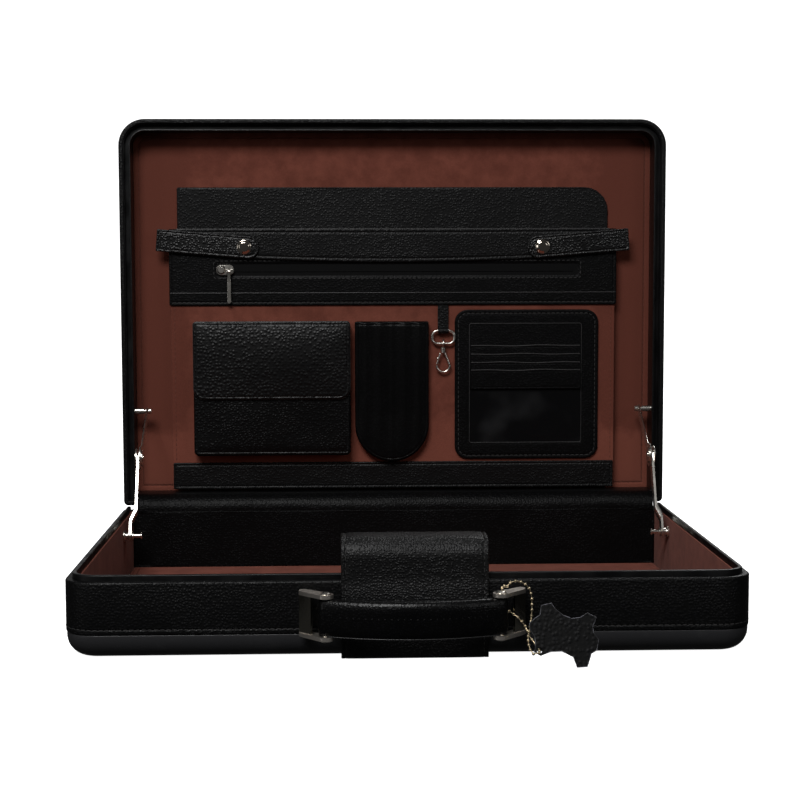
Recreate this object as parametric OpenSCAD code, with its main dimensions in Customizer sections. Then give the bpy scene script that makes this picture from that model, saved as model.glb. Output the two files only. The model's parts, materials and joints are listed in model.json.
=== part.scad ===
// Leather attache briefcase, lying on its back shell with the lid open at 90 degrees.
// Origin: centre of the underside. +X right, +Y to the hinge side, +Z up. Millimetres.

/* [Case] */
// Overall width along the hinge
case_w = 457; // [420:1:480]
// Depth from the front wall to the hinge wall
case_d = 323; // [300:1:350]
// Height of the base from its underside to its ledge
base_h = 51.5; // [46:0.5:60]
// Depth of the lid from its rim to its outer face
lid_h = 25; // [23:0.5:32]
// Plan radius of the two front corners
corner_r = 22; // [18:1:28]
// Plan radius of the two hinge side corners
rear_corner_r = 4; // [3:0.5:6]
// Height of the smooth moulded shell under the leather band of the base
base_shell_h = 16.4; // [15.2:0.1:20]
// Edge radius of the base shell
base_edge_r = 14; // [10:0.5:15]
// Height of the smooth moulded shell of the lid
lid_shell_h = 12; // [11:0.5:14]
// Edge radius of the lid shell
lid_edge_r = 10.5; // [8:0.5:11]
// How far the shells step in behind the folded edge of the bands
shell_step = 0.6; // [0.3:0.1:1]
// Gap between the two rims when the case is shut
rim_gap = 0.4; // [0.2:0.1:0.8]

/* [Walls] */
// Thickness of the outer leather
leather_t = 1.5; // [1:0.1:2]
// Thickness of the moulded floor of each shell
shell_t = 2.2; // [1.8:0.1:3]
// Inset of the inner face of the base walls
base_wall = 9; // [8.8:0.1:10]
// Thickness of the lining on the base walls
lining_t = 1.2; // [0.8:0.1:1.6]
// Inset of the inner face of the lid walls
lid_wall = 9.9; // [9.7:0.1:11]
// Thickness of the leather on the inside of the lid walls
lid_lining_t = 1.1; // [0.8:0.1:1.4]
// Thickness of the suede covered boards on the floor and in the lid
board_t = 1.5; // [1:0.1:2]

/* [Rim] */
// Inset of the outer face of the raised tongue on the base rim
tongue_inset = 4.7; // [4.4:0.1:5.2]
// Width of the raised tongue
tongue_w = 3; // [2.4:0.1:3.1]
// Height of the tongue above the ledge
tongue_h = 4; // [3:0.5:5]
// Depth to which the tongue sits in the wall board
tongue_seat = 4; // [3:0.5:6]
// Clearance round the tongue in the groove of the lid
groove_gap = 0.3; // [0.2:0.05:0.4]
// Sheet thickness of the groove channel
channel_t = 0.7; // [0.5:0.1:0.8]

/* [Hinge] */
// Length of the piano hinge
hinge_len = 400; // [360:10:410]
// Number of knuckles along the hinge
hinge_knuckles = 20; // [12:2:28]
// Distance of the hinge axis behind the rear wall
hinge_out = 2.3; // [2.2:0.1:2.8]
// Outer radius of a knuckle
knuckle_r = 2.1; // [1.8:0.1:2.1]
// Radius of the hinge pin
hinge_pin_r = 1; // [0.8:0.1:1.2]
// Sheet thickness of the hinge leaves
leaf_t = 1; // [0.8:0.1:1.2]
// Height of a hinge leaf on its wall
leaf_h = 14; // [10:1:18]
// Radial clearance of pins that turn in a bore
pin_gap = 0.06; // [0.03:0.01:0.1]

/* [Stays] */
// Distance of the base stay pivot from the case centre
stay_base_y = 91; // [86:0.5:96]
// Height of the base stay pivot
stay_base_z = 40.5; // [38:0.5:42]
// Depth of the lid stay pivot behind the rim of the lid
stay_lid_in = 6; // [5:0.5:7]
// Distance of the lid stay pivot from the hinge edge of the lid
stay_lid_up = 79.5; // [77:0.5:82]
// Distance of the elbow from the case centre
stay_elbow_y = 118; // [115:0.5:120]
// Height of the elbow
stay_elbow_z = 100; // [97:0.5:102]
// Width of the stay strips
stay_w = 8; // [6:0.5:9]
// Thickness of the lower arm
arm_t = 1.8; // [1.4:0.1:2]
// Thickness of the upper link
link_t = 1.2; // [1:0.1:1.4]
// Distance of the upper link from the side of the case
stay_in = 20.9; // [20.5:0.1:22]
// How far the foot of the lower arm is stepped outwards
arm_joggle = 4; // [3:0.5:4.5]
// Radius of the stay pins
stay_pin_r = 1.6; // [1.3:0.1:1.8]
// Radius of the elbow disc
elbow_r = 9.5; // [8:0.5:10]

/* [Closure strap] */
// Width of the strap
strap_w = 97; // [85:1:105]
// Sideways offset of the strap from the centre
strap_x = 2.75; // [0:0.25:4]
// Thickness of the fixed lower panel
panel_t = 3; // [2:0.1:3.5]
// Thickness of the tongue that closes over the lid
flap_t = 2; // [1.6:0.1:2.4]
// Reach of the tongue over the lid
flap_reach = 24; // [20:1:30]
// Inner bend radius of the tongue
flap_bend = 6; // [4:0.5:7]
// Width of the metal plate at the tip
tip_plate_w = 45; // [36:1:50]
// Length of the metal plate at the tip
tip_plate_l = 8; // [6:1:10]

/* [Handle] */
// Distance between the two wall pins
handle_span = 142; // [138:1:150]
// Distance between the two grip pins
grip_span = 113; // [106:1:120]
// Sideways offset of the handle from the centre
handle_x = 0.75; // [0:0.25:2]
// Distance of the wall pins in front of the wall
wall_pin_out = 6; // [5:0.5:7]
// Distance of the grip pins in front of the wall
grip_pin_out = 22; // [20:0.5:24]
// How far the middle of the grip bows forwards
grip_bow = 12; // [9:0.5:15]
// Thickness of the padded grip
grip_t = 9.5; // [8:0.5:11]
// Height of the grip
grip_h = 24.4; // [22:0.2:26]
// Height of the middle of the handle
handle_z = 32; // [31.5:0.25:33]
// Thickness of the shackle flanges
flange_t = 2.5; // [2:0.1:3]
// Radius of the grip pins
grip_pin_r = 1.9; // [1.6:0.1:2.1]
// Thickness of the upright plate of a shackle
web_t = 1.4; // [1:0.1:1.8]
// Length of that plate
web_l = 11.5; // [9:0.5:12]

/* [Organizer] */
// Thickness of an organizer leather layer
layer_t = 1.9; // [1.6:0.1:2]
// Width of the free space in the file pocket
file_gap = 4.9; // [4.6:0.1:6]
// Width of the file back panel
file_w = 365; // [340:1:372]
// Height of the top of the file back panel above the hinge edge of the lid
file_top = 267.3; // [255:0.5:285]
// Width of the organizer panel
panel_w = 376; // [370:1:382]
// Height of the top of the front band
band_top = 232.2; // [228:0.5:236]
// Height of the front band at its ends
band_h = 21; // [19:0.5:24]
// How far the lower edge of the band sags at its middle
band_sag = 7; // [4:0.5:8]
// Height of the lower edge of the zipped leather piece
zip_piece_low = 168; // [166:0.5:170]
// Height of the zip
zip_up = 198; // [196:0.5:200]
// Length of the zip
zip_len = 296; // [270:1:300]
// Height of the top of the black strip along the bottom
strip_top = 34.6; // [28:0.5:34.6]
// Height of the bottom edge of the organizer
panel_low = 12; // [11.5:0.1:13]
// Width of the snap straps
snap_strap_w = 18.5; // [16:0.5:20]
// Length of the snap straps
snap_strap_l = 85; // [78:1:90]
// Distance of the foot of a snap strap from the centre
snap_foot_x = 198; // [197:0.25:199]
// Radius of the snap caps
snap_r = 6.2; // [5:0.1:7]

/* [Pockets] */
// Left edge of the pouch
pouch_x = -168.7; // [-172:0.5:-160]
// Width of the pouch
pouch_w = 131.7; // [120:0.5:134]
// Height of the bottom of the pouch
pouch_low = 41.7; // [38:0.1:46]
// Height of the pouch
pouch_h = 111.1; // [104:0.1:113]
// Depth of the pouch
pouch_d = 14; // [10:0.5:16]
// Length of the pouch flap
pouch_flap_h = 66; // [50:1:75]
// Middle of the soft sleeve
sleeve_x = -1.9; // [-3:0.1:0]
// Width of the sleeve
sleeve_w = 62.4; // [56:0.2:64]
// Height of the top of the sleeve
sleeve_top = 154.2; // [146:0.1:158]
// Height of the bottom of the sleeve
sleeve_low = 35.4; // [35.4:0.1:40]
// Depth of the sleeve
sleeve_d = 9; // [8:0.5:11]
// Wall thickness of the pouch and the sleeve
pocket_t = 1.6; // [1.2:0.1:2]
// Left edge of the card holder
card_x = 51.7; // [50.5:0.1:56]
// Width of the card holder
card_w = 122.3; // [112:0.1:126]
// Height of the bottom of the card holder
card_low = 36.6; // [36:0.1:40]
// Height of the card holder
card_h = 127.2; // [120:0.1:129]
// Corner radius of the card holder
card_r = 11; // [8:0.5:14]
// Middle of the key tab
key_x = 41.8; // [41:0.1:42.5]
// Width of the key tab
key_tab_w = 9; // [8:0.2:9]
// Height of the top bar of the key ring
key_bar_up = 146.1; // [143:0.1:148]
// Distance of that bar in front of the pocket panel
key_bar_out = 4; // [4:0.1:4.4]
// Radius of the key ring wire
key_wire_r = 1.1; // [0.9:0.1:1.2]

/* [Hide tag] */
// Left edge of the hide shaped tag
tag_x = 74.5; // [74:0.25:75]
// Width of the tag
tag_w = 44.5; // [42:0.5:47]
// Height of the tag
tag_h = 41.5; // [39:0.5:44]
// Thickness of the tag
tag_t = 1.6; // [1.2:0.1:2]
// Backward lean of the tag in degrees
tag_lean = 20; // [18:1:22]
// Radius of a chain bead
bead_r = 1; // [0.9:0.05:1.1]

/* [Hidden] */
$fn = 48;

half_w = case_w / 2;
half_d = case_d / 2;
// Running gap between soft parts of different bodies
soft_gap = 0.3;
// Rim plane and outer face of the shut lid
lid_rim_z = base_h + rim_gap;
shut_top_z = lid_rim_z + lid_h;
// Hinge axis
hinge_y = half_d + hinge_out;
hinge_z = base_h + rim_gap / 2;
// The open lid: its rim plane, its hinge side edge and the face of its lining
lid_open_y = hinge_y + lid_rim_z - hinge_z;
lid_low_z = hinge_z + hinge_out;
lid_lining_y = lid_open_y + lid_h - shell_t - board_t;
// Layers in front of the lid lining, as positions along Y
file_back_y = lid_lining_y - 0.2;
file_front_y = file_back_y - layer_t;
front_board_t = 1.3;
front_back_y = file_front_y - file_gap;
front_y = front_back_y - front_board_t;
zip_face_y = front_y - layer_t;
band_face_y = zip_face_y - layer_t;
snap_strap_t = 1.8;
snap_back_y = band_face_y - 0.1;
snap_face_y = snap_back_y - snap_strap_t;
// Pivot line of the front pocket panel
pocket_pivot_y = front_y + 0.3;
pocket_pivot_z = lid_low_z + panel_low;
// Stay pivots as [y, z]
stay_base = [stay_base_y, stay_base_z];
stay_lid = [lid_open_y + stay_lid_in, lid_low_z + stay_lid_up];
stay_elbow = [stay_elbow_y, stay_elbow_z];
link_x = half_w - stay_in;
arm_x = link_x + link_t + 0.4;
stay_bore_r = stay_pin_r + pin_gap;
// Closure strap
front_face_y = -half_d;
flap_pivot_z = base_h - 1.5;
flap_in_y = front_face_y - soft_gap;
flap_mid_y = flap_in_y - flap_t / 2;
flap_under_z = shut_top_z + soft_gap;
// Handle
wall_pin_y = front_face_y - wall_pin_out;
grip_pin_y = front_face_y - grip_pin_out;
grip_end_gap = 0.3;
flange_low_z = handle_z - grip_h / 2 - grip_end_gap;
flange_top_z = handle_z + grip_h / 2 + grip_end_gap;
wall_pin_r = 1.5;
grip_half = grip_span / 2;
grip_r = (grip_half * grip_half + grip_bow * grip_bow) / (2 * grip_bow);
grip_angle = 2 * asin(grip_half / grip_r);

black_leather = "#26272b";
black_smooth = "#1b1c1f";
brown_suede = "#7a4b3e";
nickel = "#c9c3b8";
brass = "#b99a58";
board_brown = "#8a6b4c";

// Outline of the case in plan, moved inwards by inset
module plan(inset) {
  w = case_w - 2 * inset;
  d = case_d - 2 * inset;
  rf = max(corner_r - inset, 2);
  rr = max(rear_corner_r - inset, 0.5);
  translate([-w / 2 + rf, -d / 2]) square([w - 2 * rf, d]);
  translate([-w / 2, -d / 2 + rf]) square([w, d - rf - rr]);
  translate([-w / 2 + rr, 0]) square([w - 2 * rr, d / 2]);
  for (s = [-1, 1]) {
    translate([s * (w / 2 - rf), -d / 2 + rf]) circle(rf);
    translate([s * (w / 2 - rr), d / 2 - rr]) circle(rr);
  }
}

// Ring between two insets, from height z0 to z1
module wall_ring(outer, inner, z0, z1) {
  translate([0, 0, z0]) linear_extrude(z1 - z0) difference() {
    plan(outer);
    plan(inner);
  }
}

// The same ring without its hinge side, as far forward as the inset cut
module wall_horseshoe(outer, inner, z0, z1, cut) {
  translate([0, 0, z0]) linear_extrude(z1 - z0) difference() {
    plan(outer);
    plan(inner);
    translate([-half_w, half_d - cut]) square([case_w, 2 * cut]);
  }
}

// Upright rectangle with its two lower corners rounded
module rounded_foot(w, h, r) {
  translate([-w / 2 + r, 0]) square([w - 2 * r, h]);
  translate([-w / 2, r]) square([w, h - r]);
  for (s = [-1, 1]) translate([s * (w / 2 - r), r]) circle(r);
}

// Block of the case outline whose lower edge is rounded, from z = 0 to h
module rounded_block(inset, h, r) {
  w = case_w - 2 * inset;
  d = case_d - 2 * inset;
  rf = corner_r - inset;
  intersection() {
    linear_extrude(h) plan(inset);
    union() {
      rotate([90, 0, 90]) translate([0, 0, -w / 2 + rf])
        linear_extrude(w - 2 * rf) rounded_foot(d, h, r);
      intersection() {
        rotate([90, 0, 0]) translate([0, 0, -d / 2])
          linear_extrude(d - rf) rounded_foot(w, h, r);
        rotate([90, 0, 90]) translate([0, 0, -w / 2])
          linear_extrude(w) rounded_foot(d, h, r);
      }
      for (s = [0, 1]) mirror([s, 0, 0]) translate([w / 2 - rf, -d / 2 + rf, 0])
        rotate([0, 0, -90]) rotate_extrude(angle = 90) intersection() {
          rounded_foot(2 * rf, h, r);
          square([rf, h]);
        }
    }
  }
}

// Children drawn for the shut lid, in heights from its outer face inwards, shown open
module in_lid() {
  translate([0, hinge_y, hinge_z]) rotate([-90, 0, 0]) translate([0, -hinge_y, -hinge_z])
    translate([0, 0, shut_top_z]) mirror([0, 0, 1]) children();
}

// Rounded rectangle from a lower left corner
module rounded_rect(w, h, r) {
  translate([r, 0]) square([w - 2 * r, h]);
  translate([0, r]) square([w, h - 2 * r]);
  for (x = [r, w - r], y = [r, h - r]) translate([x, y]) circle(r);
}

// Child outline drawn as x and height, made a layer from y0 (front) to y1 (back)
module upright(y0, y1) {
  translate([0, y1, 0]) rotate([90, 0, 0]) linear_extrude(y1 - y0) children();
}

// Child outline drawn as y and height, made a bar from x0 to x1
module lengthwise(x0, x1) {
  translate([x0, 0, 0]) rotate([90, 0, 90]) linear_extrude(x1 - x0) children();
}

// Rod along X from x0 to x1 at a [y, z] place
module rod_x(x0, x1, place, r) {
  translate([x0, place[0], place[1]]) rotate([0, 90, 0]) cylinder(h = x1 - x0, r = r);
}

// Rod between two points
module rod(a, b, r) {
  v = b - a;
  l = norm(v);
  translate(a) rotate([0, acos(v[2] / l), atan2(v[1], v[0])]) cylinder(h = l, r = r);
}

// Base shells and walls
module bottom_shell() color(black_smooth) difference() {
  rounded_block(shell_step, base_shell_h, base_edge_r);
  translate([0, 0, shell_t]) linear_extrude(base_shell_h) plan(base_wall - lining_t);
}

module base_wall_board() color(board_brown) difference() {
  wall_ring(leather_t, base_wall - lining_t, base_shell_h, base_h - leather_t);
  wall_ring(tongue_inset, tongue_inset + tongue_w + 1, base_h - tongue_seat - leather_t, base_h);
}

module base_leather_band() color(black_leather) {
  wall_ring(0, leather_t, base_shell_h, base_h);
  wall_ring(leather_t / 2, tongue_inset, base_h - leather_t, base_h);
}

module base_rim_tongue() color(black_smooth)
  wall_horseshoe(tongue_inset, tongue_inset + tongue_w, base_h - tongue_seat - leather_t,
    base_h + tongue_h, base_wall + 2);

module base_wall_lining() color(brown_suede)
  wall_horseshoe(base_wall - lining_t, base_wall, shell_t, base_h - 0.3, base_wall);

module base_floor_lining() color(brown_suede)
  translate([0, 0, shell_t]) linear_extrude(board_t) plan(base_wall + 0.1);

module rear_wall_panel() color(black_leather)
  translate([-half_w + base_wall, half_d - base_wall, shell_t + board_t])
    cube([case_w - 2 * base_wall, lining_t, base_h - shell_t - board_t - 1]);

// Piano hinge
module knuckles(first) {
  pitch = hinge_len / hinge_knuckles;
  for (i = [first : 2 : hinge_knuckles - 1])
    rod_x(-hinge_len / 2 + i * pitch + 0.1, -hinge_len / 2 + (i + 1) * pitch - 0.1,
      [hinge_y, hinge_z], knuckle_r);
}

module knuckle_webs(first, z0, z1) {
  pitch = hinge_len / hinge_knuckles;
  for (i = [first : 2 : hinge_knuckles - 1])
    translate([-hinge_len / 2 + i * pitch + 0.1, hinge_y - knuckle_r, z0])
      cube([pitch - 0.2, leaf_t, z1 - z0]);
}

module hinge_bore()
  rod_x(-half_w, half_w, [hinge_y, hinge_z], hinge_pin_r + pin_gap);

module hinge_leaf(first, near_z, far_z) difference() {
  union() {
    translate([-hinge_len / 2, half_d, min(near_z, far_z)])
      cube([hinge_len, hinge_out - knuckle_r + leaf_t, abs(far_z - near_z)]);
    knuckle_webs(first, min(near_z, hinge_z), max(near_z, hinge_z));
    knuckles(first);
  }
  hinge_bore();
}

module base_hinge_leaf() color(nickel)
  hinge_leaf(0, hinge_z - knuckle_r - 0.3, hinge_z - knuckle_r - leaf_h);

module lid_hinge_leaf() color(nickel)
  translate([0, hinge_y, hinge_z]) rotate([-90, 0, 0]) translate([0, -hinge_y, -hinge_z])
    hinge_leaf(1, hinge_z + knuckle_r + 0.3, hinge_z + knuckle_r + leaf_h);

module hinge_pin() color(nickel)
  rod_x(-hinge_len / 2 - 0.5, hinge_len / 2 + 0.5, [hinge_y, hinge_z], hinge_pin_r);

// Leather roll that covers the hinge line inside
module hinge_gusset() color(black_leather) {
  low_y = half_d - base_wall + 0.1;
  low_z = base_h - 0.8;
  r = lid_open_y + 0.1 - low_y;
  mid = [low_y + r, lid_low_z + lid_wall - r];
  half = half_w - lid_wall - 0.6;
  lengthwise(-half, half) {
    intersection() {
      difference() {
        translate(mid) circle(r, $fn = 96);
        translate(mid) circle(r - lining_t, $fn = 96);
      }
      translate([low_y, mid[1]]) square([r, r]);
    }
    translate([low_y, low_z]) square([lining_t, mid[1] - low_z]);
  }
}

// Closure strap
// Height of the foot of the strap panel
panel_foot = 0.1;

module strap_panel() color(black_leather)
  translate([strap_x - strap_w / 2, front_face_y - panel_t, panel_foot])
    cube([strap_w, panel_t, flap_pivot_z - flap_t / 2 - soft_gap - panel_foot]);

module flap_outline() {
  rise = flap_under_z - flap_bend;
  bend_y = flap_in_y + flap_bend;
  translate([flap_mid_y, flap_pivot_z]) circle(flap_t / 2);
  translate([flap_in_y - flap_t, flap_pivot_z]) square([flap_t, rise - flap_pivot_z]);
  intersection() {
    difference() {
      translate([bend_y, rise]) circle(flap_bend + flap_t);
      translate([bend_y, rise]) circle(flap_bend);
    }
    translate([bend_y - flap_bend - flap_t, rise]) square(flap_bend + flap_t);
  }
  translate([bend_y, flap_under_z]) square([flap_reach - flap_bend, flap_t]);
}

module tip_plate_block() {
  translate([strap_x - tip_plate_w / 2, flap_in_y + flap_reach - tip_plate_l, flap_under_z])
    cube([tip_plate_w, tip_plate_l, flap_t]);
}

module closure_tongue() color(black_leather) difference() {
  lengthwise(strap_x - strap_w / 2, strap_x + strap_w / 2) flap_outline();
  tip_plate_block();
}

module tongue_tip_plate() color(nickel) tip_plate_block();

// Plate on the lid that the tip meets, as [height inwards from the outer face]
module strike_block(depth) {
  translate([strap_x - tip_plate_w / 2, flap_in_y + flap_reach - tip_plate_l, -0.1])
    cube([tip_plate_w, tip_plate_l, depth + 0.1]);
}

// Handle mounts, shackles and grip. s is -1 on the left and 1 on the right
function wall_pin(s) = [handle_x + s * handle_span / 2, wall_pin_y];
function grip_pin(s) = [handle_x + s * grip_half, grip_pin_y];

lug_h = 4.5;
barrel_h = 9;
lug_r = 2.2;
mount_plate_w = 6;
mount_plate_t = 1.6;
// Distance of the inner face of the upright plate from the axis of the wall pin
web_in = lug_r + 0.3;
flange_end_r = 2.6;
flange_grip_r = 5.2;

module handle_mount(s) {
  p = wall_pin(s);
  z_low = handle_z - barrel_h / 2 - 0.3 - lug_h;
  translate([p[0] - mount_plate_w / 2, front_face_y - mount_plate_t, z_low - 2])
    cube([mount_plate_w, mount_plate_t, 2 * lug_h + barrel_h + 4.6]);
  for (z = [z_low, handle_z + barrel_h / 2 + 0.3]) {
    translate([p[0], p[1], z]) cylinder(h = lug_h, r = lug_r);
    translate([p[0] - lug_r, p[1], z]) cube([2 * lug_r, wall_pin_out, lug_h]);
  }
  translate([p[0], p[1], z_low]) cylinder(h = 2 * lug_h + barrel_h + 0.6, r = wall_pin_r);
}

module handle_mounts() color(nickel) {
  handle_mount(-1);
  handle_mount(1);
}

// Outline of a shackle flange: two discs and the plate between them, full on its outer side
module flange_outline(s) {
  a = wall_pin(s);
  b = grip_pin(s);
  u = (b - a) / norm(b - a);
  out = s * [-u[1], u[0]];
  full = web_in + web_t;
  translate(a) circle(flange_end_r);
  translate(b) circle(flange_grip_r);
  polygon([a - flange_end_r * out, a - u + (full - 1.2) * out, a + (full + 0.1) * out,
    a + web_l / 2 * u + (full + 1.1) * out, b + flange_grip_r * out, b - flange_grip_r * out]);
}

module shackle(s) {
  a = wall_pin(s);
  b = grip_pin(s);
  dir = atan2(b[1] - a[1], b[0] - a[0]);
  reach = s > 0 ? web_in : -web_in - web_t;
  arm_w = 2.4;
  weld = 0.5;
  difference() {
    union() {
      translate([0, 0, flange_low_z - flange_t]) linear_extrude(flange_t) flange_outline(s);
      translate([0, 0, flange_top_z]) linear_extrude(flange_t) flange_outline(s);
      // Upright plate between the flanges, in front of the wall pin
      translate([a[0], a[1], flange_low_z - weld]) rotate([0, 0, dir]) translate([0, reach, 0])
        cube([web_l, web_t, flange_top_z - flange_low_z + 2 * weld]);
      // Barrel on the wall pin, and the arm that joins it to the plate
      translate([a[0], a[1], handle_z - barrel_h / 2]) rotate([0, 0, dir])
        translate([0, s > 0 ? 0 : -web_in - web_t / 2, 0]) cube([arm_w, web_in + web_t / 2, barrel_h]);
      translate([a[0], a[1], handle_z - barrel_h / 2]) cylinder(h = barrel_h, r = lug_r);
    }
    translate([a[0], a[1], handle_z - barrel_h]) cylinder(h = 2 * barrel_h, r = wall_pin_r + pin_gap);
    translate([b[0], b[1], 0]) cylinder(h = 2 * handle_z, r = grip_pin_r);
  }
}

module left_shackle() color(nickel) shackle(-1);
module right_shackle() color(nickel) shackle(1);

module grip_rivet(s) {
  b = grip_pin(s);
  head_t = 1.2;
  low = flange_low_z - flange_t;
  top = flange_top_z + flange_t;
  translate([b[0], b[1], low]) cylinder(h = top - low, r = grip_pin_r);
  translate([b[0], b[1], top]) cylinder(h = head_t, r1 = 4, r2 = 2.8);
  translate([b[0], b[1], low - head_t]) cylinder(h = head_t, r1 = 2.8, r2 = 4);
}

module left_grip_rivet() color(nickel) grip_rivet(-1);
module right_grip_rivet() color(nickel) grip_rivet(1);

// Sweep of a profile along the bow of the grip, the profile centred on the bow
module along_grip(angle) {
  translate([handle_x, grip_pin_y + grip_r - grip_bow, handle_z])
    rotate([0, 0, -90 - angle / 2]) rotate_extrude(angle = angle, $fn = 180)
      translate([grip_r, 0]) children();
}

core_t = 2;
core_h = 15;
core_angle = grip_angle - 2 * asin((grip_pin_r + 4) / grip_r);

module handle_grip() color(black_leather) difference() {
  union() {
    along_grip(grip_angle) translate([-grip_t / 2, -grip_h / 2]) rounded_rect(grip_t, grip_h, 3);
    for (s = [-1, 1]) translate([grip_pin(s)[0], grip_pin(s)[1], handle_z - grip_h / 2])
      cylinder(h = grip_h, r = grip_t / 2);
  }
  along_grip(core_angle) translate([-core_t / 2, -core_h / 2]) square([core_t, core_h]);
  translate([grip_pin(-1)[0], grip_pin(-1)[1], 0]) cylinder(h = 2 * handle_z, r = grip_pin_r + pin_gap);
  translate([grip_pin(1)[0], grip_pin(1)[1], 0]) cylinder(h = 2 * handle_z, r = grip_pin_r + 0.9);
}

module handle_core() color(nickel)
  along_grip(core_angle) translate([-core_t / 2, -core_h / 2]) square([core_t, core_h]);

// Stays. Drawn on the right and mirrored for the left
module strip(a, b, w) {
  translate(a) circle(w / 2);
  translate(b) circle(w / 2);
  l = norm(b - a);
  translate(a) rotate(atan2(b[1] - a[1], b[0] - a[0])) translate([0, -w / 2]) square([l, w]);
}

module stay_arm() difference() {
  foot = stay_base + (stay_elbow - stay_base) * 0.18;
  knee = stay_base + (stay_elbow - stay_base) * 0.32;
  union() {
    lengthwise(arm_x, arm_x + arm_t) strip(knee, stay_elbow, stay_w);
    lengthwise(arm_x + arm_joggle, arm_x + arm_joggle + arm_t) strip(stay_base, foot, stay_w);
    // The stepped stretch between the knee and the foot
    hull() {
      lengthwise(arm_x, arm_x + arm_t) translate(knee) circle(stay_w / 2, $fn = 32);
      lengthwise(arm_x + arm_joggle, arm_x + arm_joggle + arm_t)
        translate(foot) circle(stay_w / 2, $fn = 32);
    }
    rod_x(arm_x + arm_t, arm_x + arm_t + 1, stay_elbow, elbow_r - 2);
  }
  rod_x(arm_x, arm_x + 3 * arm_joggle, stay_base, stay_bore_r);
}

module stay_link() difference() {
  union() {
    lengthwise(link_x, link_x + link_t) {
      strip(stay_elbow, stay_lid, stay_w - 1);
      translate(stay_elbow) circle(elbow_r);
    }
    rod_x(link_x - 1, link_x, stay_elbow, elbow_r - 3);
    rod_x(link_x - 1.8, link_x - 1, stay_elbow, 3);
  }
  rod_x(link_x - 5, link_x + 5, stay_lid, stay_bore_r);
}

module base_stay_pin() {
  wall_x = half_w - base_wall;
  rod_x(link_x - 1.6, wall_x, stay_base, stay_pin_r);
  rod_x(wall_x - 1.4, wall_x, stay_base, 4.5);
  rod_x(arm_x + arm_joggle - 1.6, arm_x + arm_joggle - 0.3, stay_base, 2.8);
  rod_x(arm_x + arm_joggle + arm_t + 0.3, wall_x, stay_base, 2.8);
  rod_x(link_x - 2.8, link_x - 1.6, stay_base, 2.4);
}

module lid_stay_pin() {
  wall_x = half_w - lid_wall;
  rod_x(link_x - 1.6, wall_x, stay_lid, stay_pin_r);
  rod_x(arm_x + 1.6, wall_x, stay_lid, 2.6);
  rod_x(link_x - 2.8, link_x - 0.3, stay_lid, 2.4);
}

module left_stay_arm() color(nickel) mirror([1, 0, 0]) stay_arm();
module right_stay_arm() color(nickel) stay_arm();
module left_stay_link() color(nickel) mirror([1, 0, 0]) stay_link();
module right_stay_link() color(nickel) stay_link();
module base_stay_pins() color(nickel) for (s = [0, 1]) mirror([s, 0, 0]) base_stay_pin();
module lid_stay_pins() color(nickel) for (s = [0, 1]) mirror([s, 0, 0]) lid_stay_pin();

// Lid shells and walls, in heights from the outer face inwards
channel_out = tongue_inset - groove_gap - channel_t;
channel_in = tongue_inset + tongue_w + groove_gap + channel_t;
channel_floor = lid_h - rim_gap - tongue_h - 1 - channel_t;

module lid_top_shell() color(black_smooth) in_lid() difference() {
  rounded_block(shell_step, lid_shell_h, lid_edge_r);
  translate([0, 0, shell_t]) linear_extrude(lid_shell_h) plan(lid_wall - lid_lining_t);
  strike_block(0.8);
}

module lid_strike_plate() color(nickel) in_lid() difference() {
  strike_block(0.8);
  translate([-half_w, -half_d, -1]) cube([case_w, case_d, 1]);
}

module lid_wall_board() color(board_brown) in_lid() {
  difference() {
    wall_ring(leather_t, lid_wall - lid_lining_t, lid_shell_h, lid_h - leather_t);
    wall_ring(channel_out, channel_in + 1, channel_floor, lid_h);
  }
}

module lid_leather_band() color(black_leather) in_lid() {
  wall_ring(0, leather_t, lid_shell_h, lid_h);
  wall_ring(leather_t / 2, channel_out, lid_h - leather_t, lid_h);
}

module lid_groove_channel() color(black_smooth) in_lid() difference() {
  wall_ring(channel_out, channel_in, channel_floor, lid_h - leather_t);
  wall_ring(channel_out + channel_t, channel_in - channel_t, channel_floor + channel_t, lid_h);
}

module lid_wall_leather() color(black_leather) in_lid()
  wall_ring(lid_wall - lid_lining_t, lid_wall, shell_t + board_t, lid_h - 0.4);

module lid_lining_board() color(brown_suede) in_lid()
  translate([0, 0, shell_t]) linear_extrude(board_t) plan(lid_wall - lid_lining_t);

// File pocket
// Back panel with one rounded corner, folded forwards at its foot
module file_back_panel() color(black_leather) {
  low = pocket_pivot_z - 1.6;
  top = lid_low_z + file_top;
  r = 20;
  upright(file_front_y, file_back_y) {
    translate([-file_w / 2, low]) square([file_w - r, top - low]);
    translate([-file_w / 2, low]) square([file_w, top - low - r]);
    translate([file_w / 2 - r, top - r]) circle(r);
  }
  upright(front_y, file_back_y) translate([-file_w / 2, low]) square([file_w, 1.1]);
}

module pocket_front_board() color(brown_suede)
  upright(front_y, front_back_y) translate([-panel_w / 2, pocket_pivot_z + 0.3])
    square([panel_w, band_top - panel_low - 0.3]);

zip_left = -144.4;
slider_left = zip_left - 4.6;
slider_w = 14.4;
slider_h = 8.4;
slider_t = 2.2;
slider_head_r = 3.8;
pull_x = zip_left + 5.9;
pull_axis_out = slider_t + 1.2;
pull_drop = 1.2;
pull_w = 2.4;
pull_t = 1.4;
pull_l = 27;
pull_foot_w = 3;
pull_foot_l = 19;
pull_pin_r = 0.6;
pull_pin_half = 2.3;
pull_lug_gap = 1.5;
pull_lug_t = 1.1;
pull_lug_out = 2.2;
pull_lug_h = 3.4;
head_rise = 1.6;
zip_slot_h = 11;

module zip_slot(y0, y1, grow) {
  upright(y0, y1)
    translate([zip_left - 5 - grow, lid_low_z + zip_up - zip_slot_h / 2 - grow])
      rounded_rect(zip_len + 10 + 2 * grow, zip_slot_h + 2 * grow, 2);
}

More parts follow.
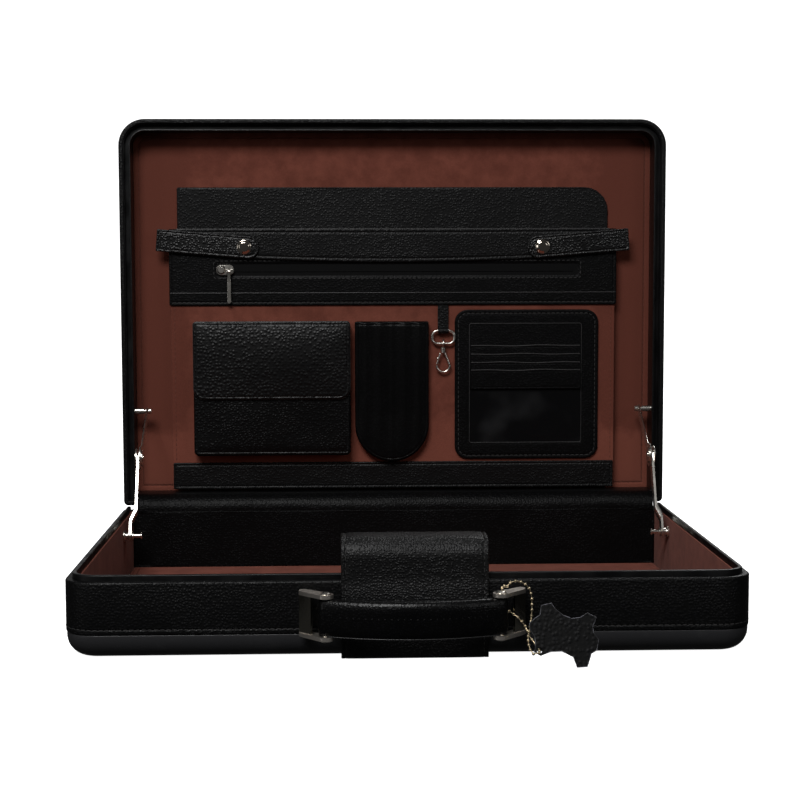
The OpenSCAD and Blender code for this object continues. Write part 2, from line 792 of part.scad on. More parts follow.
module zip_panel() color(black_leather) difference() {
  upright(zip_face_y, front_y) translate([-panel_w / 2 - 1, lid_low_z + zip_piece_low])
    square([panel_w + 2, band_top - zip_piece_low]);
  zip_slot(zip_face_y - 1, front_y + 1, 0);
}

module zip_tape() color(black_smooth) {
  zip_slot(zip_face_y + 0.7, front_y, 0);
  upright(zip_face_y + 0.1, zip_face_y + 0.7) translate([zip_left, lid_low_z + zip_up - 1.6])
    square([zip_len, 3.2]);
}

module zip_slider() color(nickel) {
  z = lid_low_z + zip_up;
  face = zip_face_y - soft_gap;
  front = face - slider_t;
  upright(front, face) translate([slider_left, z - slider_h / 2]) rounded_rect(slider_w, slider_h, 3.6);
  // Round head, and the two lugs that hold the pin of the pull
  difference() {
    union() {
      translate([slider_left + slider_head_r + 0.2, front + 0.1, z])
        rotate([90, 0, 0]) cylinder(h = head_rise, r1 = slider_head_r, r2 = slider_head_r - 1.2);
      for (x = [pull_x + pull_lug_gap, pull_x - pull_lug_gap - pull_lug_t])
        upright(front - pull_lug_out, front + 0.1)
          translate([x, z - pull_drop - pull_lug_h / 2]) square([pull_lug_t, pull_lug_h]);
    }
    rod_x(pull_x - pull_pin_half - 0.4, pull_x + pull_pin_half + 0.4, [face - pull_axis_out, z - pull_drop],
      pull_pin_r + 0.15);
  }
}

module zip_pull() color(nickel) {
  z = lid_low_z + zip_up - pull_drop;
  y = zip_face_y - soft_gap - pull_axis_out;
  rod_x(pull_x - pull_pin_half, pull_x + pull_pin_half, [y, z], pull_pin_r);
  rod_x(pull_x - pull_w / 2, pull_x + pull_w / 2, [y, z], 0.95);
  upright(y - pull_t / 2, y + pull_t / 2) {
    translate([pull_x - pull_w / 2, z - pull_l + pull_foot_l / 2]) square([pull_w, pull_l - pull_foot_l / 2]);
    translate([pull_x - pull_foot_w / 2, z - pull_l]) rounded_rect(pull_foot_w, pull_foot_l, 1.3);
  }
}

// Disc of a snap, from the place y back to the seat of the stud in the band
module stud_disc(y, r) {
  seat = band_face_y + 0.7;
  translate([snap_x, seat, snap_z]) rotate([90, 0, 0]) cylinder(h = seat - y, r = r);
}

// Upper band of the pocket, whose lower edge sags
module pocket_top_band() color(black_leather) {
  half = file_w / 2 + 0.5;
  top = lid_low_z + band_top;
  low = top - band_h;
  steps = 16;
  difference() {
    upright(band_face_y, zip_face_y)
      polygon(concat([[-half, top], [-half, low]],
        [for (i = [1 : steps - 1]) let (t = i / steps)
          [-half + 2 * half * t, low - band_sag * 4 * t * (1 - t)]],
        [[half, low], [half, top]]));
    for (s = [0, 1]) mirror([s, 0, 0]) stud_disc(band_face_y - 1, snap_r - 1);
  }
}

module pocket_base_strip() color(black_leather)
  upright(front_y - layer_t * 0.8, front_y)
    translate([-panel_w / 2 + 0.5, pocket_pivot_z]) square([panel_w - 1, strip_top - panel_low]);

// Folded leather at the two sides of the file pocket
module pocket_gussets() color(black_leather)
  for (s = [-1, 1]) {
    x = s * (file_w / 2 - 1);
    fold = s * 4;
    low = pocket_pivot_z + 4;
    translate([0, 0, low]) linear_extrude(zip_piece_low - panel_low - 8)
      polygon([[x, front_back_y], [x - fold, (front_back_y + file_front_y) / 2], [x, file_front_y],
        [x - s, file_front_y], [x - fold - s, (front_back_y + file_front_y) / 2], [x - s, front_back_y]]);
  }

// Snap straps. Drawn on the right and mirrored for the left
snap_outer_z = 223;
snap_drop = 7;
snap_slant = atan(snap_drop / snap_strap_l);
snap_tip_x = snap_foot_x - snap_strap_l;
snap_x = snap_tip_x + 12.6;
snap_z = lid_low_z + snap_outer_z - snap_drop * (snap_foot_x - snap_x) / snap_strap_l;
snap_nub_r = 1.9;

module snap_strap() difference() {
  leg_back = lid_lining_y - 0.6;
  x0 = snap_foot_x + 0.9;
  z0 = lid_low_z + snap_outer_z;
  intersection() {
    union() {
      upright(snap_face_y, snap_back_y) translate([x0, z0]) rotate(180 + snap_slant)
        translate([0, -snap_strap_w / 2]) {
          square([snap_strap_l + 0.9 - 6, snap_strap_w]);
          translate([snap_strap_l - 9, 0]) rounded_rect(9.9, snap_strap_w, 4.9);
        }
      upright(snap_back_y - 0.1, leg_back) translate([snap_foot_x - 0.9, z0 - snap_strap_w / 2])
        square([1.8, snap_strap_w]);
    }
    translate([0, 0, lid_low_z]) cube([x0, case_d, case_d]);
  }
  stud_disc(snap_face_y - 1, snap_nub_r + 0.35);
}

module snap_cap() {
  translate([snap_x, snap_face_y, snap_z]) rotate([90, 0, 0]) {
    cylinder(h = 0.8, r = snap_r);
    translate([0, 0, 0.8]) cylinder(h = 1.2, r1 = snap_r - 0.6, r2 = snap_r - 2.4);
  }
}

module left_snap_strap() color(black_leather) mirror([1, 0, 0]) snap_strap();
module right_snap_strap() color(black_leather) snap_strap();
module left_snap_cap() color(nickel) mirror([1, 0, 0]) snap_cap();
module right_snap_cap() color(nickel) snap_cap();

// Stud halves that stay on the band
module snap_studs() color(nickel)
  for (s = [0, 1]) mirror([s, 0, 0]) {
    stud_disc(band_face_y, snap_r - 1);
    stud_disc(band_face_y - 1.2, snap_nub_r);
  }

// Pouch with a flap
pouch_z = lid_low_z + pouch_low;
pouch_front_y = front_y - 0.1 - pouch_d;
pouch_top_z = pouch_z + pouch_h;

module pouch_body() color(black_leather) difference() {
  upright(pouch_front_y, front_y) translate([pouch_x, pouch_z]) rounded_rect(pouch_w, pouch_h, 3);
  upright(pouch_front_y + pocket_t, front_y - pocket_t)
    translate([pouch_x + pocket_t, pouch_z + pocket_t])
      square([pouch_w - 2 * pocket_t, pouch_h]);
}

module pouch_flap() color(black_leather) {
  flap_leather_t = 1.8;
  top = pouch_top_z + 0.5 + flap_leather_t;
  out_y = pouch_front_y - soft_gap - flap_leather_t;
  low = top - pouch_flap_h;
  r = 8;
  upright(out_y, out_y + flap_leather_t) {
    translate([pouch_x, low + r]) square([pouch_w, top - low - r]);
    translate([pouch_x + r, low]) square([pouch_w - 2 * r, r * 2]);
    for (x = [pouch_x + r, pouch_x + pouch_w - r]) translate([x, low + r]) circle(r);
  }
  lengthwise(pouch_x, pouch_x + pouch_w) translate([out_y, top - flap_leather_t])
    square([front_y - 0.4 - out_y, flap_leather_t]);
}

// Soft sleeve with a round bottom
module sleeve_outline(inset, top) {
  r = sleeve_w / 2 - inset;
  low = lid_low_z + sleeve_low + sleeve_w / 2;
  translate([sleeve_x, low]) circle(r, $fn = 96);
  translate([sleeve_x - r, low]) square([2 * r, top - low]);
}

sleeve_seam_w = 1.8;
sleeve_seam_foot = 6;
sleeve_seam_head = 8;

module soft_sleeve() color(black_leather) {
  face = front_y - sleeve_d;
  top = lid_low_z + sleeve_top;
  difference() {
    upright(face, front_y) sleeve_outline(0, top);
    upright(face + pocket_t, front_y - pocket_t) sleeve_outline(pocket_t, top + 1);
    // Notch in the mouth of the front
    upright(face - 1, face + pocket_t + 0.5) translate([sleeve_x, top]) circle(3.5);
  }
  // Raised seam down the middle
  upright(face - 0.6, face)
    translate([sleeve_x - sleeve_seam_w / 2, lid_low_z + sleeve_low + sleeve_seam_foot])
      square([sleeve_seam_w, sleeve_top - sleeve_low - sleeve_seam_foot - sleeve_seam_head]);
}

// Key tab, ring and swivel clasp
key_y = front_y - key_bar_out;
key_bar_z = lid_low_z + key_bar_up;
tab_eye_r = 2.4;
ring_half_w = 9.4;
ring_half_h = 5.4;
ring_corner_r = 4.7;
low_bar_z = key_bar_z - 2 * ring_half_h;

module key_tab() color(black_leather) difference() {
  union() {
    upright(front_y - 2, front_y) translate([key_x - key_tab_w / 2, key_bar_z])
      square([key_tab_w, lid_low_z + zip_piece_low - key_bar_z]);
    rod_x(key_x - key_tab_w / 2, key_x + key_tab_w / 2, [key_y, key_bar_z], tab_eye_r);
  }
  rod_x(key_x - key_tab_w, key_x + key_tab_w, [key_y, key_bar_z], key_wire_r + pin_gap);
}

module key_ring() color(nickel) {
  mid_z = key_bar_z - ring_half_h;
  cx = ring_half_w - ring_corner_r;
  cz = ring_half_h - ring_corner_r;
  for (s = [-1, 1]) {
    rod_x(key_x - cx, key_x + cx, [key_y, mid_z + s * ring_half_h], key_wire_r);
    rod([key_x + s * ring_half_w, key_y, mid_z - cz], [key_x + s * ring_half_w, key_y, mid_z + cz],
      key_wire_r);
  }
  for (q = [0 : 3]) translate([key_x + (q == 0 || q == 3 ? cx : -cx), key_y, mid_z + (q < 2 ? cz : -cz)])
    rotate([90, 0, 0]) rotate([0, 0, 90 * q]) rotate_extrude(angle = 90)
      translate([ring_corner_r, 0]) circle(key_wire_r);
}

clasp_eye_r = 2.8;
clasp_wire_r = 0.9;
hook_half = 6.4;
hook_r = hook_half - clasp_wire_r;
hook_top_z = low_bar_z - 5.6;
hook_l = 19.4;
hook_low_z = hook_top_z - hook_l;
hook_mid_z = hook_low_z + hook_half;
swivel_r = 0.8;

// Eye round the lower bar of the ring, with the collar of the swivel
module clasp_eye() color(nickel) difference() {
  union() {
    translate([key_x, key_y, low_bar_z]) rotate([0, 90, 0]) rotate_extrude()
      translate([clasp_eye_r, 0]) circle(clasp_wire_r);
    translate([key_x, key_y, hook_top_z + 0.3]) cylinder(h = 2, r = 2);
  }
  translate([key_x, key_y, hook_top_z - 1]) cylinder(h = 2.4, r = swivel_r + pin_gap);
}

// Hook: swivel pin, slanted right side and a round bottom, open at the gate on the left
module clasp_hook() color(nickel) {
  translate([key_x, key_y, hook_top_z - 2]) cylinder(h = 2, r = 1.9);
  translate([key_x, key_y, hook_top_z - 1]) cylinder(h = 2.3, r = swivel_r);
  rod([key_x + hook_r, key_y, hook_mid_z], [key_x + 1, key_y, hook_top_z - 1.2], clasp_wire_r);
  translate([key_x + hook_r, key_y, hook_mid_z]) sphere(clasp_wire_r);
  translate([key_x, key_y, hook_mid_z]) rotate([90, 0, 0]) rotate([0, 0, 180])
    rotate_extrude(angle = 180) translate([hook_r, 0]) circle(clasp_wire_r);
}

gate_top = [key_x - 2.6, key_y, hook_top_z - 3.2];

module clasp_gate() color(nickel) {
  rod(gate_top, [key_x - hook_r, key_y, hook_mid_z + 1.2], clasp_wire_r - 0.15);
  translate(gate_top) sphere(clasp_wire_r);
  translate([key_x - 4.6, key_y, (gate_top[2] + hook_mid_z) / 2 + 1]) sphere(1.2);
}

// Card holder
card_z = lid_low_z + card_low;
card_face_y = front_y - 2.4;

window_left = 14;
window_right = 16.3;
window_foot = 15.6;
window_h = 41;

module card_window_outline(inset) {
  translate([card_x + window_left - inset, card_z + window_foot - inset])
    square([card_w - window_left - window_right + 2 * inset, window_h + 2 * inset]);
}

slip_t = 0.7;
slip_left = 13.2;
slip_right = 15.3;
slip_low = 60;
slip_tops = [97, 89.8, 82.8, 76.3];

module card_holder() color(black_leather) {
  difference() {
    upright(card_face_y, front_y) translate([card_x, card_z]) rounded_rect(card_w, card_h, card_r);
    upright(card_face_y - 1, front_y - 1) card_window_outline(0);
    upright(card_face_y - 1, card_face_y + 0.4) card_window_outline(2);
  }
  // Four card slips, each in front of the one above it
  for (i = [0 : 3])
    upright(card_face_y - slip_t * (i + 1), card_face_y - slip_t * i)
      translate([card_x + slip_left, card_z + slip_low])
        square([card_w - slip_left - slip_right, slip_tops[i] - slip_low]);
}

module card_window() color("#3a3d42") upright(card_face_y, card_face_y + 0.4) card_window_outline(2);

// Loop of the ball chain, as points chosen by hand: over the top flange of the right shackle,
// down its outer side, through the hole of the tag from the front, and back up inside the shackle
chain_route = [
  [61.4, -181, 50.6], [63.2, -182.4, 53.4], [66.6, -182.8, 54.4], [70.1, -182.6, 53.8],
  [73.2, -182.2, 52], [75.6, -181.9, 49.3], [76.9, -181.8, 46], [77.4, -181.8, 42.4],
  [77.5, -182, 38.8], [77.4, -182.3, 35.2], [77.2, -182.9, 31.6], [76.6, -184.1, 28.2],
  [75.8, -185.9, 25.2], [74.9, -188.1, 22.4], [74.2, -190.7, 20], [73.8, -193.5, 17.8],
  [73.9, -196.2, 15.5], [74.6, -198.7, 13], [76.4, -200.9, 10.8], [80, -201.4, 11.6],
  [80.5, -198, 12.2],
  [80.3, -194.7, 13.2], [78.6, -192.2, 15.2], [76.6, -190.3, 17.6], [75, -188.1, 19.9],
  [74.2, -185.6, 22.3], [72.9, -183.9, 25], [70.9, -182.9, 27.9], [68.4, -181.9, 30.4],
  [65.7, -180.4, 32.3], [63.1, -178.2, 33.8], [60.5, -175.8, 35.6], [58.8, -174.4, 38.3],
  [58.2, -173.9, 41.9], [58.2, -174.2, 45.5], [58.7, -175.8, 48.7], [59.9, -178.4, 50.4]
];
link_r = 0.35;
// Running gap between a bead and the end of its link
link_gap = 0.02;

module tag_chain() color(brass)
  for (i = [0 : len(chain_route) - 1]) {
    a = chain_route[i];
    b = chain_route[i == len(chain_route) - 1 ? 0 : i + 1];
    reach = (bead_r + link_gap) * (b - a) / norm(b - a);
    translate(a) sphere(bead_r, $fn = 24);
    rod(a + reach, b - reach, link_r);
  }

// Outline of the hide shaped tag, in shares of its width and height
tag_outline = [
  [0, 0.69], [0.09, 0.77], [0.16, 0.82], [0.18, 0.965], [0.33, 1], [0.38, 0.91], [0.49, 0.81],
  [0.62, 0.755], [0.75, 0.77], [0.85, 0.84], [0.98, 0.77], [0.92, 0.63], [0.93, 0.53], [1, 0.42],
  [0.967, 0.263], [0.885, 0.21], [0.82, 0.01], [0.67, 0], [0.62, 0.16], [0.46, 0.25],
  [0.295, 0.245], [0.15, 0.186], [0.06, 0.245], [0.08, 0.37], [0.066, 0.49], [0, 0.6]
];
tag_low = [-201, 1.6];
tag_hole = [6, 11];
tag_hole_r = 1.8;

module hide_tag() color(black_leather)
  translate([tag_x, tag_low[0], tag_low[1]]) rotate([-tag_lean, 0, 0]) difference() {
    upright(-tag_t, 0) polygon([for (p = tag_outline) [p[0] * tag_w, p[1] * tag_h]]);
    translate([tag_hole[0], 1, tag_hole[1]]) rotate([90, 0, 0]) cylinder(h = tag_t + 2, r = tag_hole_r);
  }

bottom_shell();
base_wall_board();
base_leather_band();
base_rim_tongue();
base_wall_lining();
base_floor_lining();
rear_wall_panel();
base_hinge_leaf();
hinge_pin();
hinge_gusset();
strap_panel();
handle_mounts();
base_stay_pins();
closure_tongue();
tongue_tip_plate();
left_shackle();
left_grip_rivet();
right_shackle();
right_grip_rivet();
handle_grip();
handle_core();
left_stay_arm();
right_stay_arm();
left_stay_link();
right_stay_link();
lid_top_shell();
lid_wall_board();
lid_leather_band();
lid_groove_channel();
lid_wall_leather();
lid_lining_board();
lid_hinge_leaf();
lid_stay_pins();
lid_strike_plate();
file_back_panel();
pocket_front_board();
zip_panel();
zip_tape();
pocket_top_band();
pocket_base_strip();
snap_studs();
pouch_body();
soft_sleeve();
key_tab();
card_holder();
card_window();
pocket_gussets();
pouch_flap();
zip_slider();
zip_pull();
left_snap_strap();
left_snap_cap();
right_snap_strap();
right_snap_cap();
key_ring();
clasp_eye();
clasp_hook();
clasp_gate();
tag_chain();
hide_tag();
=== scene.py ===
import json
import math

import bmesh
import bpy
import numpy as np
from mathutils import Matrix

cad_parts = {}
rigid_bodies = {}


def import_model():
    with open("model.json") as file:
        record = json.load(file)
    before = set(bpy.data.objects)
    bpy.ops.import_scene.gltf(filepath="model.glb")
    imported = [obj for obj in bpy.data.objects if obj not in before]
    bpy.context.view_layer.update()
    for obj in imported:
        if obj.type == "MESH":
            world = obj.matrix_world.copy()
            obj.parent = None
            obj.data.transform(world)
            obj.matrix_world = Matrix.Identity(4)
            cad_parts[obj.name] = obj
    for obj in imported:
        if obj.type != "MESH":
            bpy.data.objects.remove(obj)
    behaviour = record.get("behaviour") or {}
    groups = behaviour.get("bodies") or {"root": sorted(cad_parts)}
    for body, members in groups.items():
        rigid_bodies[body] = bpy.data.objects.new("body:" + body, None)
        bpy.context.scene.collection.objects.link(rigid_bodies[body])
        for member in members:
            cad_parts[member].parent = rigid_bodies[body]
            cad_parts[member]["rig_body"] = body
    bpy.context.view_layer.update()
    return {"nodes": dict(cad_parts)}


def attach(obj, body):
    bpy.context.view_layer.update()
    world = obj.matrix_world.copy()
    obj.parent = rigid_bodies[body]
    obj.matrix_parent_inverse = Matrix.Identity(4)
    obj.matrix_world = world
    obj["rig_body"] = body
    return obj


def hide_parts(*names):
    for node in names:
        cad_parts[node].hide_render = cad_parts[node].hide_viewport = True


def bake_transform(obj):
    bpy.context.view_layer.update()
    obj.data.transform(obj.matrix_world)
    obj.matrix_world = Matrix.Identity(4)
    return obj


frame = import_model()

# Camera, at the height and distance of the photograph's, looking slightly down into the open case.
# The case is in the row frame, so the camera alone carries the small turn and tilt of the view.
camera_place = (-0.0452, -1.2518, 0.2631)
camera_turn = (
    Matrix.Rotation(math.radians(-2.018), 4, "Z")
    @ Matrix.Rotation(math.radians(90 - 4.875), 4, "X")
    @ Matrix.Rotation(math.radians(-0.135), 4, "Z")
)
camera = bpy.data.objects.new("camera", bpy.data.cameras.new("camera"))
bpy.context.scene.collection.objects.link(camera)
camera.data.sensor_width = 36
camera.data.lens = 75.85
camera.data.clip_end = 60
camera.matrix_world = Matrix.Translation(camera_place) @ camera_turn
bpy.context.scene.camera = camera


# Studio: a white floor that sweeps up all round, as a bowl, and soft boxes.
# The floor and the boxes are stage, and are no part of the case.
class Signal:
    """One socket of a finish. Arithmetic on it adds Math nodes."""

    def __init__(self, finish, socket):
        self.finish, self.socket = finish, socket

    def math(self, operation, *values):
        return self.finish.node("ShaderNodeMath", {"operation": operation}, dict(enumerate(values)))

    def __add__(self, other):
        return self.math("ADD", self, other)

    def __sub__(self, other):
        return self.math("SUBTRACT", self, other)

    def __mul__(self, other):
        return self.math("MULTIPLY", self, other)

    def __rsub__(self, other):
        return self.math("SUBTRACT", other, self)

    __radd__ = __add__
    __rmul__ = __mul__


class Finish:
    """A procedural material. Constants go straight to the shader's own sockets."""

    def __init__(self, name, **constants):
        self.material = bpy.data.materials.new(name)
        self.material.use_nodes = True
        self.tree = self.material.node_tree
        self.shader = self.tree.nodes["Principled BSDF"]
        for key, value in constants.items():
            self.feed(key.replace("_", " ").title().replace("Ior", "IOR"), value)

    def give(self, socket, value):
        """A link from a signal, or a constant. Colours come as three numbers."""
        if isinstance(value, Signal):
            self.tree.links.new(value.socket, socket)
        else:
            socket.default_value = (*value, 1) if socket.type == "RGBA" else value

    def feed(self, key, value):
        self.give(self.shader.inputs[key], value)

    def tones(self, share, first, second):
        """Base colour, mixed from two by share."""
        self.feed("Base Color", self.blend(share, first, second))

    def node(self, kind, settings, inputs, output=0):
        """Any node: its settings first, then the values or links of its sockets."""
        made = self.tree.nodes.new(kind)
        for key, value in settings.items():
            setattr(made, key, value)
        for key, value in inputs.items():
            self.give(made.inputs[key], value)
        return Signal(self, made.outputs[output])

    def place(self):
        return self.node("ShaderNodeTexCoord", {}, {}, "Object")

    def noise(self, per_metre, detail=2.0, rough=0.5, where=None, output=0):
        inputs = {"Vector": where or self.place(), "Scale": per_metre, "Detail": detail, "Roughness": rough}
        return self.node("ShaderNodeTexNoise", {}, inputs, output)

    def smooth(self, value, low, high, start=0.0, end=1.0):
        inputs = {"Value": value, "From Min": low, "From Max": high, "To Min": start, "To Max": end}
        return self.node("ShaderNodeMapRange", {"interpolation_type": "SMOOTHSTEP"}, inputs)

    def blend(self, share, first, second):
        """Colour mix: the first where share is 0, the second where it is 1."""
        return self.node("ShaderNodeMix", {"data_type": "RGBA"}, {0: share, 6: first, 7: second}, 2)

    def relief(self, height, depth_mm, strength=1.0):
        inputs = {"Height": height, "Distance": depth_mm * 0.001, "Strength": strength}
        self.feed("Normal", self.node("ShaderNodeBump", {}, inputs))


def grid_faces(rows, columns, round_rows=False, round_columns=False):
    """Quads between the neighbours of a grid whose points are numbered row by row."""
    row = np.arange(rows if round_rows else rows - 1)[:, None]
    column = np.arange(columns if round_columns else columns - 1)[None, :]
    below, beside = (row + 1) % rows * columns, (column + 1) % columns
    row = row * columns
    return np.stack([row + column, row + beside, below + beside, below + column], -1).reshape(-1, 4)


def placed(name, mesh, finish, sharp):
    """Object at the origin with one finish, smooth apart from edges over sharp degrees."""
    mesh.materials.clear()
    mesh.materials.append(finish.material)
    mesh.shade_smooth()
    mesh.set_sharp_from_angle(angle=math.radians(sharp))
    piece = bpy.data.objects.new(name, mesh)
    bpy.context.scene.collection.objects.link(piece)
    return piece


def mesh_of(name, points, faces, finish, sharp=40, merge=1e-6):
    """Object from points in millimetres, with its normals turned outwards."""
    mesh = bpy.data.meshes.new(name)
    mesh.from_pydata((np.asarray(points).reshape(-1, 3) * 0.001).tolist(), [], [list(f) for f in faces])
    shape = bmesh.new()
    shape.from_mesh(mesh)
    bmesh.ops.remove_doubles(shape, verts=shape.verts, dist=merge)
    bmesh.ops.dissolve_degenerate(shape, edges=shape.edges, dist=merge)
    bmesh.ops.recalc_face_normals(shape, faces=shape.faces)
    shape.to_mesh(mesh)
    shape.free()
    return placed(name, mesh, finish, sharp)


def surface(name, rows, finish, round_rows=False, round_columns=False, cap_rows=False, cap_columns=False,
            sharp=40):
    """Piece from a grid of points, with many-sided faces on its open ends where caps are asked for."""
    count, width = rows.shape[:2]
    faces = grid_faces(count, width, round_rows, round_columns).tolist()
    if cap_rows:
        faces += [list(range(width)), list(range((count - 1) * width, count * width))]
    if cap_columns:
        faces += [list(range(0, count * width, width)), list(range(width - 1, count * width, width))]
    return mesh_of(name, rows, faces, finish, sharp)


def arc(centre, radius, start, end, steps=8):
    """Points of a circle's part from one angle to another, in degrees."""
    turn = np.radians(np.linspace(start, end, steps + 1))
    return np.stack([centre[0] + radius * np.cos(turn), centre[1] + radius * np.sin(turn)], 1)


floor_z, flat_radius, sweep_radius, bowl_top = -0.5, 1900, 1200, 4200
bowl_turn = np.radians(np.linspace(0, 360, 72, endpoint=False))
sweep = arc((flat_radius, floor_z + sweep_radius), sweep_radius, -90, 0, 16)
flat = [[20, floor_z], [flat_radius, floor_z]]
bowl_profile = np.vstack([flat, sweep, [[flat_radius + sweep_radius, bowl_top]]])
bowl_rows = np.stack([
    np.stack([r * np.cos(bowl_turn), r * np.sin(bowl_turn), np.full_like(bowl_turn, z)], 1)
    for r, z in bowl_profile
])
paper = Finish("studio_paper", base_color=(0.86, 0.86, 0.86), roughness=0.9, emission_strength=1.0)
paper.feed("Emission Color", (1.0, 1.0, 1.0))
paper.feed("Roughness", paper.smooth(paper.noise(20), 0.3, 0.7, 0.85, 0.95))
floor = surface("floor", bowl_rows, paper, round_columns=True, cap_rows=True)
floor.visible_glossy = False
floor.visible_diffuse = False

world = bpy.data.worlds.new("studio")
world.use_nodes = True
bpy.context.scene.world = world
sky = world.node_tree
sky.nodes["Background"].inputs["Color"].default_value = (1, 1, 1, 1)
sky.nodes["Background"].inputs["Strength"].default_value = 0.03
bpy.context.scene.view_settings.view_transform = "Standard"


def soft_box(name, place, aim, width, height, power):
    """Area light at a place, turned to face the aim, in metres and watts."""
    light = bpy.data.lights.new(name, "AREA")
    light.shape = "RECTANGLE"
    light.size, light.size_y, light.energy = width, height, power
    lamp = bpy.data.objects.new(name, light)
    bpy.context.scene.collection.objects.link(lamp)
    away = Matrix.Translation(place).translation - Matrix.Translation(aim).translation
    lamp.matrix_world = Matrix.Translation(place) @ away.to_track_quat("Z", "Y").to_matrix().to_4x4()
    lamp.visible_camera = False
    return lamp


soft_box("key_light", (-0.45, -1.3, 1.45), (0, 0.1, 0.15), 0.9, 0.6, 32)
soft_box("fill_light", (1.3, -1.5, 0.8), (0, 0.1, 0.15), 0.5, 0.5, 3)
soft_box("side_card", (-1.5, -0.9, 0.4), (0, 0, 0.1), 0.3, 0.8, 1.5)
soft_box("back_card", (0, 2.2, 0.8), (0, 0, 0.3), 4.0, 1.6, 6)
soft_box("rear_light", (0.9, 1.9, 2.0), (0, 0.2, 0.2), 1.0, 0.7, 30)
top_light = soft_box("top_light", (0.0, -0.1, 1.7), (0, 0.05, 0.1), 1.4, 0.35, 9)
top_light.visible_glossy = False

# Base shell: a dish of smooth black leather moulded over a stiff form, on which the case lies.
# Its edge radius is large, and its top tucks in under the sewn band.
half_w, half_d = 228.5, 161.5
front_radius, rear_radius = 22.0, 4.0
band_foot, base_top, lid_band_foot, lid_depth = 16.4, 51.5, 12.0, 25.0
lid_back_y, lid_middle_z = 189.0, 215.5
shell_in, tuck_radius, board_face = 0.6, 0.8, 2.2
shell_colour, shell_scuff = (0.020, 0.020, 0.0215), (0.028, 0.028, 0.029)

moulded_leather = Finish("moulded_leather", specular_ior_level=0.32)
scuffs = moulded_leather.smooth(moulded_leather.noise(35, 5, 0.7), 0.5, 0.75)
moulded_leather.tones(scuffs, shell_colour, shell_scuff)
moulded_leather.feed("Roughness", 0.34 + 0.12 * scuffs + 0.06 * moulded_leather.noise(900, 2))
moulded_leather.relief(moulded_leather.noise(1100, 3, 0.6) + 0.5 * moulded_leather.noise(90, 2), 0.13)


def case_outline(inset, back_y=None, step=5.0, corner_steps=12):
    """Rounded rectangle of the case in plan, moved inwards by inset: four arcs joined by straight runs.
    With back_y it is the part in front of that line, from the right end round the front to the left."""
    w, d = half_w - inset, half_d - inset
    front, rear = max(front_radius - inset, 2), max(rear_radius - inset, 0.5)
    corners = [(-w + front, -d + front, front, 180), (w - front, -d + front, front, 270)]
    if back_y is None:
        corners += [(w - rear, d - rear, rear, 0), (-w + rear, d - rear, rear, 90)]
    arcs = [arc((x, y), r, a, a + 90, corner_steps) for x, y, r, a in corners]
    if back_y is not None:
        arcs = [np.array([[-w, back_y]])] + arcs + [np.array([[w, back_y]])]
    ends = arcs[1:] + (arcs[:1] if back_y is None else [])
    parts = []
    for one, following in zip(arcs, ends):
        long_way = 2 * half_w if abs(one[-1, 1] - following[0, 1]) < 1 else 2 * half_d
        run = np.linspace(one[-1], following[0], int(long_way / step))[1:-1]
        parts += [one, run]
    if back_y is not None:
        parts.append(arcs[-1])
    return np.vstack(parts)


def standing(outline, height):
    """Places an outline at a height in the base."""
    return np.column_stack([outline, np.full(len(outline), height)])


def hinged(outline, depth):
    """Places an outline at a depth from the outer face of the open lid."""
    back = np.full(len(outline), lid_back_y - depth)
    return np.column_stack([outline[:, 0], back, lid_middle_z - outline[:, 1]])


def round_case(profile, place, back_y=None):
    """Rows of points: the case outline at the inset and height of each point of a profile."""
    return np.stack([place(case_outline(inset, back_y), height) for inset, height in profile])


def shell_profile(edge_radius, height, inner_inset):
    """Section of a moulded dish, as inset and height: inner wall, tucked top, side, edge radius."""
    outer = arc((shell_in + edge_radius, edge_radius), edge_radius, 180, 270, 14)
    top = arc((shell_in + tuck_radius, height - tuck_radius), tuck_radius, 90, 180, 4)
    return np.vstack([[[inner_inset, board_face], [inner_inset, height]], top, outer])


def riding(piece, body, slot, *nodes):
    """Fixes a finished piece to a body and hides the CAD nodes that it replaces. Its slot is not used."""
    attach(piece, body)
    if nodes:
        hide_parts(*nodes)
    return piece


def run_round(name, section, place, finish, body, slot, *nodes, back_y=None, **ends):
    """Piece whose section is carried round the case."""
    return riding(surface(name, round_case(section, place, back_y), finish, **ends), body, slot, *nodes)


base_wall_in, base_edge_radius = 7.8, 14
base_section = shell_profile(base_edge_radius, band_foot, base_wall_in)
run_round("base_dish", base_section, standing, moulded_leather, "base", "moulded_shell", "bottom_shell",
          round_columns=True, cap_rows=True)

# Base band: pebbled cowhide drawn round the wall board, folded over the ledge at the top and over
# its own lower edge, where a row of dark stitches holds it.
# Pebbled leather colours: the creases between pebbles are painted darker as painted shade; the pebble tops
# vary at random with wear.
crease_shade_colour, pebble_colour = (0.0008, 0.0008, 0.0009), (0.0022, 0.0022, 0.0025)
worn_colour = (0.005, 0.005, 0.0056)


